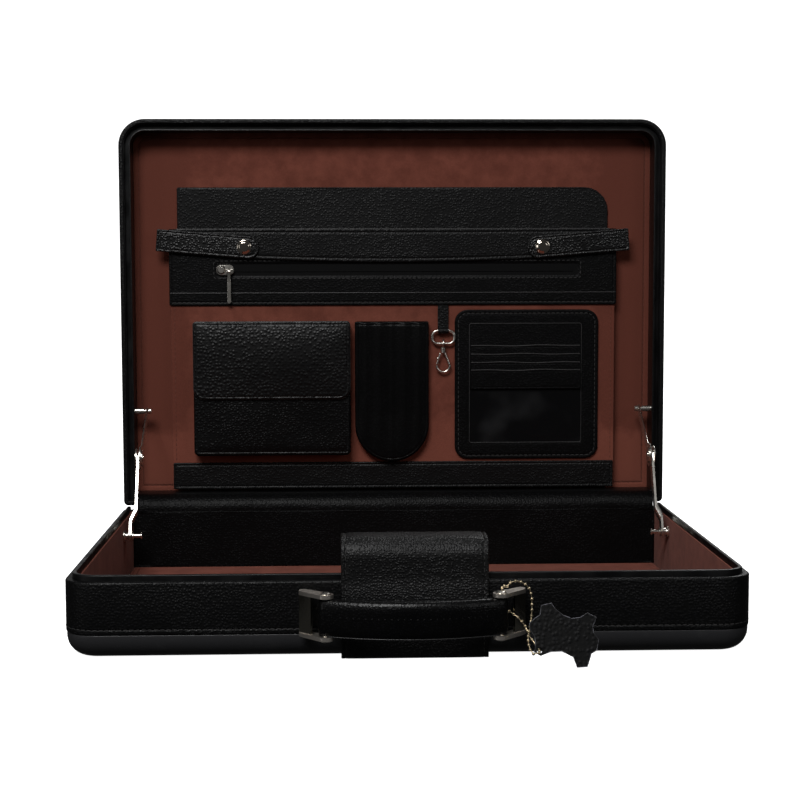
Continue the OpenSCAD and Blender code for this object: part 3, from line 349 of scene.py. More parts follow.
def pebbled(name, cell=1.9, depth=0.28, shine=0.36, level=0.19):
    """Grained leather: round pebbles in uneven rows, fine pores and slow changes of tone. Cell and depth are
    in mm. A pebble is one less a smooth step of the distance to its middle; a slow noise flattens some."""
    made = Finish(name, specular_ior_level=level)
    drift = made.noise(120, 2, 0.5, output=1)
    moved = made.node("ShaderNodeVectorMath", {"operation": "MULTIPLY_ADD"},
                      {0: drift, 1: (0.0018, 0.0018, 0.0018), 2: made.place()})
    far = made.node("ShaderNodeTexVoronoi", {"feature": "SMOOTH_F1"},
                    {"Vector": moved, "Scale": 1000 / cell, "Randomness": 0.75, "Smoothness": 0.25})
    dome = 1 - made.smooth(far, 0.0, 0.68)
    patch = made.smooth(made.noise(22, 3, 0.55), 0.3, 0.7)
    pores, waves = made.noise(2600, 2, 0.6), made.noise(110, 2)
    made.relief(dome * (0.6 + 0.4 * patch) + 0.04 * pores + 0.3 * waves, depth)
    top = made.blend(made.smooth(made.noise(60, 4, 0.65), 0.5, 0.85), pebble_colour, worn_colour)
    # Painted shade: the creases between pebbles take the darker colour.
    made.tones(made.smooth(dome, 0.1, 0.7), crease_shade_colour, top)
    made.feed("Roughness", shine + 0.10 * (1 - dome) + 0.05 * patch)
    return made


pebbled_leather = pebbled("pebbled_leather")
thread = Finish("waxed_thread", specular_ior_level=0.3)
twist = thread.noise(2400, 2)
thread.tones(twist, (0.010, 0.010, 0.0105), (0.045, 0.043, 0.042))
thread.feed("Roughness", 0.5 + 0.2 * twist)
thread.relief(twist, 0.1)


def evenly(path, pitch, closed=True):
    """Points every pitch along a path, and the path's direction at each."""
    line = np.vstack([path, path[:1]]) if closed else np.asarray(path, float)
    run = np.concatenate([[0], np.cumsum(np.linalg.norm(np.diff(line, axis=0), axis=1))])
    count = max(int(run[-1] / pitch), 1)
    at = (np.arange(count) + 0.5) * run[-1] / count

    def along(distance):
        inside = np.clip(distance, 0, run[-1])
        return np.stack([np.interp(inside, run, line[:, k]) for k in range(3)], 1)

    heading = along(at + 0.4) - along(at - 0.4)
    return along(at), heading / np.linalg.norm(heading, axis=1)[:, None]


def stitched(name, path, outward, body, slot="smooth_leather", closed=True, finish=thread,
             pitch=4.0, length=2.9, radius=0.3):
    """One row of stitches: each is a six-sided thread whose ends dip into the leather.
    A point is the place, plus its share of the length along the seam, plus a circle across it."""
    points, heading = evenly(path, pitch, closed)
    out = outward(points) if callable(outward) else np.broadcast_to(np.asarray(outward, float), points.shape)
    out = out / np.linalg.norm(out, axis=1)[:, None]
    across = np.cross(heading, out)
    share = np.array([-1, -0.72, 0, 0.72, 1])
    size = np.array([0.45, 0.9, 1.0, 0.9, 0.45]) * radius
    lift = np.array([-0.32, 0.02, 0.12, 0.02, -0.32])
    turn = np.radians(np.arange(0, 360, 60))
    spot = (points[:, None, None] + heading[:, None, None] * (share * length / 2)[None, :, None, None]
            + out[:, None, None] * lift[None, :, None, None]
            + (across[:, None, None] * np.cos(turn)[None, None, :, None]
               + out[:, None, None] * np.sin(turn)[None, None, :, None]) * size[None, :, None, None])
    one = [*grid_faces(5, 6, round_columns=True).tolist(), [5, 4, 3, 2, 1, 0], [24, 25, 26, 27, 28, 29]]
    faces = [[corner + 30 * i for corner in face] for i in range(len(points)) for face in one]
    piece = mesh_of(name, spot, faces, finish, merge=1e-8)
    return riding(piece, body, slot)


seam_up, seam_sunk = 3.5, 0.15
groove_depth = 0.35


def band_profile(low, top, fold_end, fold_t=1.5, seams=()):
    """Section of a sewn band, as inset and height: folded lower edge, face with a groove at each seam,
    rounded upper edge and the fold over the ledge."""
    near = [(s, s + off) for s in seams for off in np.linspace(-1.2, 1.2, 9)]
    face = [(groove_depth * math.exp(-((h - s) / 0.5) ** 2), h) for s, h in near]
    lower = arc((0.9, low + 0.9), 0.9, 270, 180, 5)
    upper = arc((1.5, top - 1.5), 1.5, 180, 90, 6)
    fold = arc((fold_end - 0.5, top - 0.5), 0.5, 90, 0, 3)
    inner = [[fold_end, top - fold_t], [1.5, top - fold_t], [1.5, low]]
    return np.vstack([lower, face, upper, fold, inner])


def outwards(points):
    """Direction away from the middle of the case, square to its nearest side, along the corner at corners."""
    x, y = points[:, 0], points[:, 1]
    radius = np.where(y < 0, front_radius, rear_radius)
    off_x = np.sign(x) * np.maximum(np.abs(x) - (half_w - radius), 0)
    off_y = np.sign(y) * np.maximum(np.abs(y) - (half_d - radius), 0)
    return np.stack([off_x, off_y, np.zeros_like(x)], 1)


ledge_in, base_seam = 4.7, band_foot + seam_up
base_band_section = band_profile(band_foot, base_top, ledge_in, seams=(base_seam,))
run_round("base_band", base_band_section, standing, pebbled_leather, "base", "pebbled_leather",
          "base_leather_band", round_rows=True, round_columns=True)
stitched("base_band_stitches", standing(case_outline(seam_sunk), base_seam), outwards, "base")

# Base rim: a black tongue that stands in the ledge on three sides and enters the groove of the lid.
# Inside it the walls and the floor are lined with suede, and the floor board is slightly puffed.
rim_black = Finish("rim_black", base_color=(0.0016, 0.0016, 0.0018), specular_ior_level=0.22)
rim_black.feed("Roughness", rim_black.smooth(rim_black.noise(60, 3), 0.3, 0.7, 0.3, 0.5))
rim_black.relief(rim_black.noise(900, 2), 0.03)
suede_dark, suede_mid, suede_light = (0.066, 0.0185, 0.0122), (0.122, 0.036, 0.0238), (0.185, 0.058, 0.039)

suede = Finish("brown_suede", specular_ior_level=0.08, sheen_weight=0.03, sheen_roughness=0.6)
sideways = suede.node("ShaderNodeSeparateXYZ", {}, {"Vector": suede.place()}, "X")
height = suede.node("ShaderNodeSeparateXYZ", {}, {"Vector": suede.place()}, "Z")
# Painted shade and light: the suede is painted darker towards the side walls (|x| past 160-200 mm, over
# 100-140 mm up), where shade falls, and painted lighter in a band 56-130 mm up. Both ride on the nap's random
# tone.
painted_side_shade = suede.smooth(sideways * sideways, 0.160 ** 2, 0.200 ** 2) * suede.smooth(height, 0.10, 0.14)
painted_low_light = suede.smooth(height, 0.056, 0.062) * (1 - suede.smooth(height, 0.09, 0.13))
nap_and_painted_light = suede.noise(60, 5, 0.7) - 0.6 * painted_side_shade + 0.4 * painted_low_light
fibre = suede.noise(1500, 3, 0.65)
nap_tone_and_painted_light = suede.blend(suede.smooth(nap_and_painted_light, 0.3, 0.7), suede_dark, suede_light)
suede.tones(suede.smooth(fibre, 0.25, 0.75, 0.35, 0.9), nap_tone_and_painted_light, suede_mid)
suede.feed("Roughness", 0.85 + 0.12 * fibre)
suede.relief(fibre + 0.4 * suede.noise(260, 3), 0.12)

tongue_out, tongue_foot, tongue_top, tongue_radius, tongue_end_y = 7.7, 46.0, 55.5, 0.8, 150.5


def upright_strip(first, last, foot, top, radius, steps):
    """Section of a strip that stands between two insets: up one side, round both top corners and down."""
    return np.vstack([[[first, foot]], arc((first + radius, top - radius), radius, 180, 90, steps),
                      arc((last - radius, top - radius), radius, 90, 0, steps), [[last, foot]]])


tongue = upright_strip(ledge_in, tongue_out, tongue_foot, tongue_top, tongue_radius, 4)
run_round("rim_tongue", tongue, standing, rim_black, "base", "rim_black", "base_rim_tongue",
          back_y=tongue_end_y, round_rows=True, cap_columns=True)
lining_in, lining_top, lining_end_y = 9.0, 51.2, 152.5
lining = upright_strip(base_wall_in, lining_in, board_face, lining_top, 0.4, 3)
run_round("wall_lining", lining, standing, suede, "base", "suede", "base_wall_lining",
          back_y=lining_end_y, round_rows=True, cap_columns=True)


def puffed_board(name, inset, low, high, place, body, node):
    """Suede over a thin board: rings of the case outline from the wall inwards, with a pressed line
    a little way in and a slight crown beyond it. Height is the board's face, less the line's depth."""
    steps = np.array([0, 0.4, 1, 2, 3.4, 4.4, 4.9, 5.3, 5.8, 6.3, 7.2, 9, 14, 24, 44, 90, 140])
    dip = 0.7 * np.exp(-((steps - 5.3) / 0.55) ** 2) + 0.5 * np.exp(-(steps / 0.5) ** 2)
    crown = 0.35 * (1 - np.exp(-np.maximum(steps - 5.3, 0) / 4))
    profile = np.column_stack([np.r_[inset, inset + steps], np.r_[low, high - dip + crown]])
    run_round(name, profile, place, suede, body, "suede", node, round_columns=True, cap_rows=True, sharp=60)


floor_face = 3.7
puffed_board("floor_board", lining_in + 0.1, board_face, floor_face, standing, "base", "base_floor_lining")
brown_thread = Finish("brown_thread", roughness=0.8, specular_ior_level=0.2)
strands = brown_thread.noise(2400, 2)
brown_thread.tones(strands, (0.05, 0.014, 0.009), (0.16, 0.055, 0.038))
floor_seam = standing(case_outline(lining_in + 5.4), floor_face - 0.6)
stitched("floor_stitches", floor_seam, (0, 0, 1), "base", "suede", finish=brown_thread)

# Wall boards: plain grey-brown fibre board under the leather, cut square and seen only at its edges.
# They stay as the CAD has them, and only get their finish here.
fibre_board = Finish("fibre_board", roughness=0.85)
specks = fibre_board.noise(700, 4, 0.7)
fibre_board.tones(specks, (0.05, 0.035, 0.022), (0.12, 0.085, 0.055))
fibre_board.relief(specks, 0.1)


def dress(finish, *names):
    """Gives CAD nodes that stay a better material."""
    for name in names:
        mesh = frame["nodes"][name].data
        mesh.materials.clear()
        mesh.materials.append(finish.material)


dress(fibre_board, "base_wall_board", "lid_wall_board")

# Lid: the same build turned up on the hinge, with a flatter dish, a narrower band, the groove channel for
# the tongue, leather on the inside of the walls and a suede board on the back.
lid_wall_in, lid_edge_radius, lid_ledge_in, lid_seam = 8.8, 10.5, 3.7, 14.2
lid_section = shell_profile(lid_edge_radius, lid_band_foot, lid_wall_in)
run_round("lid_dish", lid_section, hinged, moulded_leather, "lid", "moulded_shell", "lid_top_shell",
          round_columns=True, cap_rows=True)
lid_band_section = band_profile(lid_band_foot, lid_depth, lid_ledge_in, seams=(lid_seam,))
run_round("lid_band", lid_band_section, hinged, pebbled_leather, "lid", "pebbled_leather",
          "lid_leather_band", round_rows=True, round_columns=True)


def outwards_hinged(points):
    """The same direction for points of the open lid, which are laid flat for it and turned up again."""
    flat = outwards(np.column_stack([points[:, 0], lid_middle_z - points[:, 2], points[:, 1]]))
    return np.column_stack([flat[:, 0], flat[:, 2], -flat[:, 1]])


stitched("lid_band_stitches", hinged(case_outline(seam_sunk), lid_seam), outwards_hinged, "lid")
channel_out, channel_wall, channel_floor, channel_top = 8.7, 0.7, 18.9, 23.5
side_in, side_out, bed = lid_ledge_in + channel_wall, channel_out - channel_wall, channel_floor + channel_wall
channel = [[lid_ledge_in, channel_top], [lid_ledge_in, channel_floor], [channel_out, channel_floor],
           [channel_out, channel_top], [side_out, channel_top], [side_out, bed], [side_in, bed],
           [side_in, channel_top]]
run_round("lid_groove", channel, hinged, rim_black, "lid", "rim_black", "lid_groove_channel",
          round_rows=True, round_columns=True)
smooth_leather = pebbled("smooth_leather", cell=1.3, depth=0.12, shine=0.26, level=0.34)
wall_leather_in, wall_foot, wall_top, fold_radius = 9.9, 3.7, 24.6, 0.4
inner_wall = np.vstack([[[lid_wall_in, wall_foot]], arc((lid_wall_in + 0.3, wall_top - 0.3), 0.3, 180, 90, 2),
                        arc((wall_leather_in - fold_radius, wall_top - fold_radius), fold_radius, 90, 0, 3),
                        [[wall_leather_in, wall_foot]]])
run_round("lid_inner_wall", inner_wall, hinged, smooth_leather, "lid", "smooth_leather",
          "lid_wall_leather", round_rows=True, round_columns=True)
lid_board_face = 3.4
puffed_board("lid_board", lid_wall_in, board_face, lid_board_face, hinged, "lid", "lid_lining_board")
lid_board_seam = hinged(case_outline(lid_wall_in + 5.3), lid_board_face - 0.6)
stitched("lid_board_stitches", lid_board_seam, (0, -1, 0), "lid", "suede", finish=brown_thread)


# Rear wall panel: a strip of pebbled leather inside the hinge wall, below the roll over the hinge.
# Like all flat leather pieces here it has turned edges, so it is made by the one panel function.
def spread(length, step=5.0):
    """Positions from 0 to length: close together at both ends, where edges are turned and sewn."""
    near = np.array([0, 0.1, 0.3, 0.6, 1, 1.4, 1.8, 2.2, 2.6, 3.0, 3.5, 4.4])
    near = near[near < length * 0.45]
    middle = np.linspace(near[-1], length - near[-1], max(3, int((length - 2 * near[-1]) / step) + 1))
    return np.concatenate([near[:-1], middle, (length - near[:-1])[::-1]])


def inside(x, z, box, radii):
    """Distance inwards from the outline of a rectangle whose corners are rounded, radii from the lower left
    round to the upper left: the corner's radius less the distance from its centre, or the nearest side's."""
    x0, x1, z0, z1 = box
    left, low = x < (x0 + x1) / 2, z < (z0 + z1) / 2
    r = np.where(low, np.where(left, radii[0], radii[1]), np.where(left, radii[3], radii[2]))
    over_x = np.abs(x - (x0 + x1) / 2) - (x1 - x0) / 2 + r
    over_z = np.abs(z - (z0 + z1) / 2) - (z1 - z0) / 2 + r
    past_centre = np.hypot(np.maximum(over_x, 0), np.maximum(over_z, 0))
    return r - past_centre - np.minimum(np.maximum(over_x, over_z), 0)


def corner_rise(x, x0, x1, left, right):
    """Height of a rounded edge over its straight line: r less the root of r squared less the run squared."""
    run_l, run_r = np.clip(left - (x - x0), 0, left), np.clip(right - (x1 - x), 0, right)
    return left - np.sqrt(left ** 2 - run_l ** 2) + right - np.sqrt(right ** 2 - run_r ** 2)


def leather_panel(name, box, radii, front, back, finish, body, slot, *nodes, edge=0.7, groove_in=2.3,
                  puff=0.0, relief=None, bend=None, step=5.0, groove=groove_depth):
    """Upright leather piece facing the front, fixed to a body. Its face stands at front, falls away at edges
    by a quarter circle of radius edge, has a pressed seam line groove_in from them, and swells by puff.
    relief adds height as a function of x and z; bend moves finished points."""
    x0, x1, z0, z1 = box
    x = x0 + spread(x1 - x0, step)[None, :]
    low = z0 + corner_rise(x, x0, x1, radii[0], radii[1])
    high = z1 - corner_rise(x, x0, x1, radii[3], radii[2])
    share = (spread(z1 - z0, step) / (z1 - z0))[:, None]
    z = low + (high - low) * share
    x = np.broadcast_to(x, z.shape)
    depth = np.maximum(inside(x, z, box, radii), 0)
    fall = edge - np.sqrt(np.maximum(edge ** 2 - (edge - np.minimum(depth, edge)) ** 2, 0))
    half = min(x1 - x0, z1 - z0) / 2
    beyond = np.clip((depth - groove_in) / (half - groove_in), 0, 1)
    swell = puff * np.sqrt(np.clip(1 - (1 - beyond) ** 2, 0, 1))
    y = front + fall - swell
    if groove_in:
        y = y + groove * np.exp(-((depth - groove_in) / 0.5) ** 2)
    if relief is not None:
        y = y - relief(x, z) * np.clip(depth / 1.5, 0, 1)
    face = np.stack([x, y, z], -1)
    behind = np.stack([x, np.full_like(y, back), z], -1)
    count = face.shape[0] * face.shape[1]
    faces = grid_faces(*face.shape[:2])
    index = np.arange(count).reshape(face.shape[:2])
    loop = np.concatenate([index[0, :-1], index[:-1, -1], index[-1, :0:-1], index[:0:-1, 0]])
    following = np.roll(loop, -1)
    wall = np.stack([loop, following, following + count, loop + count], 1)
    points = np.vstack([face.reshape(-1, 3), behind.reshape(-1, 3)])
    if bend is not None:
        points = bend(points)
    piece = mesh_of(name, points, np.vstack([faces, faces[:, ::-1] + count, wall]), finish)
    return riding(piece, body, slot, *nodes)


def panel_path(box, radii, inset, y):
    """Closed path inset from the outline of a rounded rectangle, at y."""
    x0, x1, z0, z1 = box
    (a, b, c, d), i = [max(r - inset, 0.6) for r in radii], inset
    line = np.vstack([arc((x0 + i + a, z0 + i + a), a, 180, 270), arc((x1 - i - b, z0 + i + b), b, 270, 360),
                      arc((x1 - i - c, z1 - i - c), c, 0, 90), arc((x0 + i + d, z1 - i - d), d, 90, 180)])
    return np.column_stack([line[:, 0], np.full(len(line), y), line[:, 1]])


paint_dark, paint_worn = (0.008, 0.008, 0.009), (0.035, 0.034, 0.034)
edge_paint = Finish("edge_paint", specular_ior_level=0.5)
edge_wear = edge_paint.noise(300, 3, 0.6)
edge_paint.tones(edge_wear, paint_dark, paint_worn)
edge_paint.feed("Roughness", 0.3 + 0.2 * edge_wear)


def edge_bead(name, path, body, slot="smooth_leather", radius=0.35, closed=True, finish=edge_paint):
    """Edge of a leather piece that faces the front: a thin six-sided bead along its path.
    A point is the path's, plus the radius times the cosine sideways and the sine outwards."""
    ahead = np.roll(path, -1, 0) - np.roll(path, 1, 0) if closed else np.gradient(path, axis=0)
    ahead /= np.linalg.norm(ahead, axis=1)[:, None]
    sideways = np.cross(ahead, (0, -1, 0))
    turn = np.radians(np.arange(0, 360, 60))[:, None]
    ring = np.cos(turn) * sideways[:, None] + np.sin(turn) * np.array([0, -1, 0])
    rows = path[:, None] + radius * ring
    return riding(surface(name, rows, finish, closed, True, cap_rows=not closed, sharp=70), body, slot)


rear_half, rear_face, rear_t, square = 219.5, 152.5, 1.2, (1, 1, 1, 1)
rear_box = (-rear_half, rear_half, floor_face, 50.5)


def rear_creases(x, z):
    """Soft waves of thin leather: a narrow sine near the two ends, and a slow one all over."""
    near_end = np.exp(-((rear_half - np.abs(x)) / 16) ** 2)
    return 0.3 * np.sin(x / 17) * np.sin(z / 19) + 0.9 * near_end * np.sin((z - 4) / 7 + np.abs(x) / 5)


dull_leather = pebbled("dull_leather", depth=0.26, shine=0.36, level=0.1)
leather_panel("rear_panel", rear_box, square, rear_face, rear_face + rear_t, dull_leather, "base",
              "pebbled_leather", "rear_wall_panel", groove_in=0, relief=rear_creases, edge=0.4)

# Hinge roll: the strip of leather that covers the hinge, from the rear wall over to the lid.
# It is made in its open shape and is fixed to neither body.
roll_centre, roll_radius, roll_t, roll_foot, roll_half, roll_steps = (164.1, 52.4), 11.5, 1.2, 50.7, 218, 14
roll_outer_y, roll_inner_y = roll_centre[0] - roll_radius, roll_centre[0] - roll_radius + roll_t
roll_profile = np.vstack([
    [[roll_outer_y, roll_foot]], arc(roll_centre, roll_radius, 180, 90, roll_steps),
    arc(roll_centre, roll_radius - roll_t, 90, 180, roll_steps), [[roll_inner_y, roll_foot]]
])
roll_x = np.linspace(-roll_half, roll_half, 120)
roll_wave = 0.35 * np.sin(roll_x / 23) + 0.2 * np.sin(roll_x / 7.3 + 1)
bulge = np.sin(np.linspace(0, np.pi, roll_steps + 2)) * 0.5
roll_rows = np.stack([
    np.stack([roll_x, y - b * roll_wave, z + b * roll_wave], 1)
    for (y, z), b in zip(roll_profile, np.r_[bulge, bulge[::-1]])
])
hinge_roll = surface("hinge_roll", roll_rows, dull_leather, round_rows=True, cap_columns=True)
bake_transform(hinge_roll)
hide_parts("hinge_gusset")

# Metalwork: leaves, pins, stays, handle mounts and rivets of nickel plated steel, brushed and a little worn.
# Cut edges are eased, so each is a copy of its solid with a small bevel.
nickel = Finish("brushed_nickel", metallic=1.0)
smear = nickel.noise(120, 4, 0.6)
nickel.tones(smear, (0.60, 0.56, 0.50), (0.78, 0.75, 0.70))
nickel.feed("Roughness", 0.20 + 0.16 * smear)
nickel.relief(nickel.noise(2500, 2), 0.01)
dress(nickel, "hinge_pin", "handle_core", "snap_studs")


def softened(node, width=0.3, finish=nickel, slot="nickel", sharp=30):
    """Copy of a metal solid whose sharp edges are eased by width millimetres."""
    source = frame["nodes"][node]
    mesh = source.data.copy()
    shape = bmesh.new()
    shape.from_mesh(mesh)
    bmesh.ops.remove_doubles(shape, verts=shape.verts, dist=2e-6)
    bmesh.ops.dissolve_limit(shape, angle_limit=math.radians(1), verts=shape.verts, edges=shape.edges)
    shape.to_mesh(mesh)
    shape.free()
    piece = placed(node + "_eased", mesh, finish, sharp)
    bevel = piece.modifiers.new("eased_edges", "BEVEL")
    bevel.width = width * 0.001
    bevel.segments = 2
    bevel.limit_method = "ANGLE"
    bevel.angle_limit = math.radians(sharp)
    bevel.use_clamp_overlap = True
    return riding(piece, source["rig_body"], slot, node)


for node in ("base_hinge_leaf", "lid_hinge_leaf", "base_stay_pins", "lid_stay_pins", "left_stay_arm",
             "right_stay_arm", "left_stay_link", "right_stay_link", "lid_strike_plate"):
    softened(node, 0.25)
for node in ("handle_mounts", "left_grip_rivet", "right_grip_rivet"):
    softened(node, 0.7)

# Shackles: each is an upright polished plate with a rougher brushed flange above it and another below. The
# plate's colour is painted dark, as painted shade for the dark it reflects, and the flanges' colour is
# painted bright, as a painted highlight. The finish changes where the flanges begin, a set height off the
# handle's middle.
plate_half, handle_z, metre = 11.5, 32.0, 0.001
shackle_nickel = Finish("shackle_nickel", metallic=1.0)
upwards = shackle_nickel.node("ShaderNodeSeparateXYZ", {}, {"Vector": shackle_nickel.place()}, "Z")
off_middle = upwards - handle_z * metre
flange_from, flange_to = (plate_half * metre) ** 2, ((plate_half + 1) * metre) ** 2
flange = shackle_nickel.smooth(off_middle * off_middle, flange_from, flange_to)
hazy = shackle_nickel.noise(90, 4, 0.6)
# Painted shade and highlight: the plate's base colour is dark and the flanges' bright, though all is one
# nickel.
shackle_nickel.tones(flange, (0.34, 0.32, 0.27), (0.92, 0.85, 0.77))
shackle_nickel.feed("Roughness", 0.06 + 0.08 * hazy + 0.26 * flange)
shackle_nickel.relief(shackle_nickel.noise(240, 2), 0.02)
for node in ("left_shackle", "right_shackle"):
    softened(node, 0.5, shackle_nickel)

# Closure strap: a wide strap sewn to the front wall, which turns over the lid and ends in a metal clip.
# One doubled strip of pebbled leather runs from the floor to the tip; it is made in one shape and fixed to no
# body.
strap_left, strap_right, strap_t, strap_seam_in = -45.75, 51.25, 2.2, 3.0
strap_bend, strap_radius, strap_tip_y, strap_swell = (-151.5, 66.7), 11.5, -138.2, 1.3
strap_front, strap_over = strap_bend[0] - strap_radius, strap_bend[1] + strap_radius
strap_low = np.linspace(0.3, 50, 22)
strap_line = np.vstack([
    np.column_stack([strap_front - 0.1 - strap_swell * np.sin(np.pi * (strap_low / 51) ** 1.6), strap_low]),
    np.column_stack([np.full(5, strap_front), np.linspace(52.5, 64, 5)]),
    arc(strap_bend, strap_radius, 180, 90, 16),
    np.column_stack([np.linspace(strap_bend[0] + 2, strap_tip_y, 6), np.full(6, strap_over)]),
])


def strip_rows(line, x0, x1, thickness, seam_in, puff=0.4):
    """Rows of points round a strip: its outer face, rounded sides and inner face, carried along a line in
    the y z plane. The face is half the thickness off the line, less the seam grooves."""
    ahead = np.gradient(line, axis=0)
    ahead /= np.linalg.norm(ahead, axis=1)[:, None]
    out = np.column_stack([-ahead[:, 1], ahead[:, 0]])
    x = x0 + spread(x1 - x0, 5.0)
    near = np.minimum(x - x0, x1 - x)
    edge = 0.9
    drop = edge - np.sqrt(np.maximum(edge ** 2 - (edge - np.minimum(near, edge)) ** 2, 0))
    swell = puff * np.clip((near - seam_in) / 8, 0, 1) ** 0.5
    face = thickness / 2 - drop + swell - groove_depth * np.exp(-((near - seam_in) / 0.5) ** 2)
    back = -(thickness / 2 - drop)
    x = np.concatenate([x, x[::-1]])
    offset = np.concatenate([face, back[::-1]])
    return np.stack([
        np.column_stack([x, p[0] + n[0] * offset, p[1] + n[1] * offset]) for p, n in zip(line, out)
    ])


strap_leather = pebbled("strap_leather", cell=1.6, depth=0.4, shine=0.4, level=0.28)
strap_rows = strip_rows(strap_line, strap_left, strap_right, strap_t, strap_seam_in)
strap = surface("closure_strap", strap_rows, strap_leather, round_columns=True, cap_rows=True, sharp=50)
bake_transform(strap)
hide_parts("strap_panel", "closure_tongue")


def strap_outwards(points):
    """Square to the strap's face: forwards below its bend, along the bend's radius, upwards behind it."""
    forward = np.minimum(points[:, 1] - strap_bend[0], 0)
    up = np.maximum(points[:, 2] - strap_bend[1], 0)
    return np.stack([0 * forward, forward, up], 1)


below_bend = len(strap_low)
for side, x in (("left", strap_left + strap_seam_in), ("right", strap_right - strap_seam_in)):
    seam = np.column_stack([np.full(len(strap_line), x), strap_line])
    out = strap_outwards(seam)
    seam += out / np.linalg.norm(out, axis=1)[:, None] * 0.85
    low_seam, over_seam = seam[1:below_bend], seam[below_bend + 1:-2]
    stitched(f"strap_{side}_stitches", low_seam, strap_outwards, "base", closed=False)
    stitched(f"tongue_{side}_stitches", over_seam, strap_outwards, "closure_tongue", closed=False)

# Handle grip: a padded leather tube sewn lengthwise, bowed outwards between the two shackles.
# It is a rounded section carried along the bow, and its ends close round the pins.
grip_half_span, grip_t, grip_h, grip_seam_h = 56.5, 9.5, 24.4, 1.5
bow_radius, bow_x, bow_front = 139.0, 0.75, -195.5
bow_centre = np.array([bow_x, bow_front + bow_radius])
bow_end = math.degrees(math.asin(grip_half_span / bow_radius))


def grip_rows():
    """Rows of rings along the grip. The middle line is an arc, carried on straight past the pins; a ring is a
    rounded oblong whose thickness shrinks there by a half circle, so that the ends are closed round."""
    turn = np.radians(np.linspace(-bow_end, bow_end, 60))
    line = bow_centre + bow_radius * np.column_stack([np.sin(turn), -np.cos(turn)])
    ahead = np.column_stack([np.cos(turn), np.sin(turn)])
    over = grip_t / 2 * np.sin(np.linspace(0.12, 1, 7) * np.pi / 2)
    line = np.vstack([line[0] - ahead[0] * over[::-1, None], line, line[-1] + ahead[-1] * over[:, None]])
    ahead = np.vstack([np.tile(ahead[0], (7, 1)), ahead, np.tile(ahead[-1], (7, 1))])
    past = np.concatenate([over[::-1], np.zeros(60), over])
    thick = np.sqrt(np.maximum((grip_t / 2) ** 2 - past ** 2, 0))
    side = np.column_stack([-ahead[:, 1], ahead[:, 0]])
    angle = np.linspace(0, 2 * np.pi, 48, endpoint=False)
    across = np.sign(np.cos(angle)) * np.abs(np.cos(angle)) ** (2 / 2.9)
    up = np.sign(np.sin(angle)) * np.abs(np.sin(angle)) ** (2 / 3.6) * grip_h / 2
    seam = 1 - 0.09 * np.exp(-((up - grip_seam_h) / 0.8) ** 2)
    rows = []
    for place, sideways, half in zip(line, side, thick):
        reach = across * half * seam
        rows.append(np.column_stack([place + sideways * reach[:, None], handle_z + up]))
    return np.stack(rows), line, side


grip_points, grip_line, grip_side = grip_rows()
grip_leather = pebbled("grip_leather", cell=1.5, depth=0.14, shine=0.22)
grip = surface("padded_grip", grip_points, grip_leather, round_columns=True, cap_rows=True, sharp=70)
riding(grip, "grip", "smooth_leather", "handle_grip")


def along_grip(skip, reach, height):
    """Path in front of the grip's middle line by reach, at a height, leaving out points at both ends."""
    line = grip_line[skip:-skip] - grip_side[skip:-skip] * reach
    return np.column_stack([line, np.full(len(line), height)])


edge_bead("grip_edge", along_grip(8, 2.6, handle_z - 11.9), "grip", closed=False)
stitched("grip_stitches", along_grip(12, 4.4, handle_z + grip_seam_h), (0, -1, 0), "grip", closed=False)

# File pocket: a tall back panel of pebbled leather sewn to the lid, and a suede covered front board that
# tilts forward on gussets. All other pockets are sewn to this board.
board_y, board_t, pocket_top = 177, 1.3, 286.2
back_box = (-182.5, 182.5, 64.4, 321.3)


def slow_waves(x, z):
    """A large piece of leather is never quite flat: the product of two slow sines."""
    return 0.25 * np.sin(x / 31) * np.sin(z / 23)


leather_panel("file_back", back_box, (1, 1, 20, 1.5), 183.2, 185.1, pebbled_leather, "lid",
              "pebbled_leather", "file_back_panel", groove_in=0, relief=slow_waves)
front_box = (-188, 188, 66.3, pocket_top)
leather_panel("pocket_board", front_box, square, board_y, board_y + board_t, suede, "pocket_front", "suede",
              "pocket_front_board", edge=0.4, groove_in=0)
for side, name in ((-1, "left"), (1, "right")):
    line = np.array([[side * 184.9, board_y, 90], [side * 184.9, board_y, 221]])
    stitched(f"board_{name}_stitches", line, (0, -1, 0), "pocket_front", "suede", closed=False,
             finish=brown_thread)
dress(smooth_leather, "pocket_gussets")

# Zipped piece: a strip of grained leather across the top of the board, with a long slot for the zip.
# The zip is woven tape with coiled teeth, and its slider and pull are nickel.
zip_box = (-189, 189, 222, pocket_top)
zip_face = 175.1
slot_box = (-149.4, 156.6, 246.5, 257.5)


def zip_slot(x, z):
    """The long opening of the zip: the face drops by the layer's thickness inside the slot."""
    return -1.2 * np.clip(inside(x, z, slot_box, (2, 2, 2, 2)) / 0.6, 0, 1)


zip_leather = pebbled("zip_leather", cell=1.8, depth=0.22, shine=0.38, level=0.1)
leather_panel("zip_front", zip_box, square, zip_face, board_y, zip_leather, "pocket_front",
              "pebbled_leather", "zip_panel", groove_in=2.5, step=1.6, relief=zip_slot)
zip_seam = np.array([[-186.5, zip_face, 224.5], [186.5, zip_face, 224.5]])
stitched("zip_front_stitches", zip_seam, (0, -1, 0), "pocket_front", closed=False)
slot_seam = panel_path((-152, 159.2, 244, 260), (3, 3, 3, 3), 0.6, zip_face)
stitched("zip_slot_stitches", slot_seam, (0, -1, 0), "pocket_front")
zip_cloth = Finish("zip_cloth", base_color=(0.002, 0.002, 0.0022), specular_ior_level=0.12)
weave = zip_cloth.noise(2200, 2)
zip_cloth.feed("Roughness", 0.75 + 0.15 * weave)
zip_cloth.relief(weave, 0.1)
dress(zip_cloth, "zip_tape")
tooth_z, tooth_pitch = 252, 0.95
dark_coil = Finish("dark_coil", specular_ior_level=0.5, base_color=(0.006, 0.006, 0.0065))
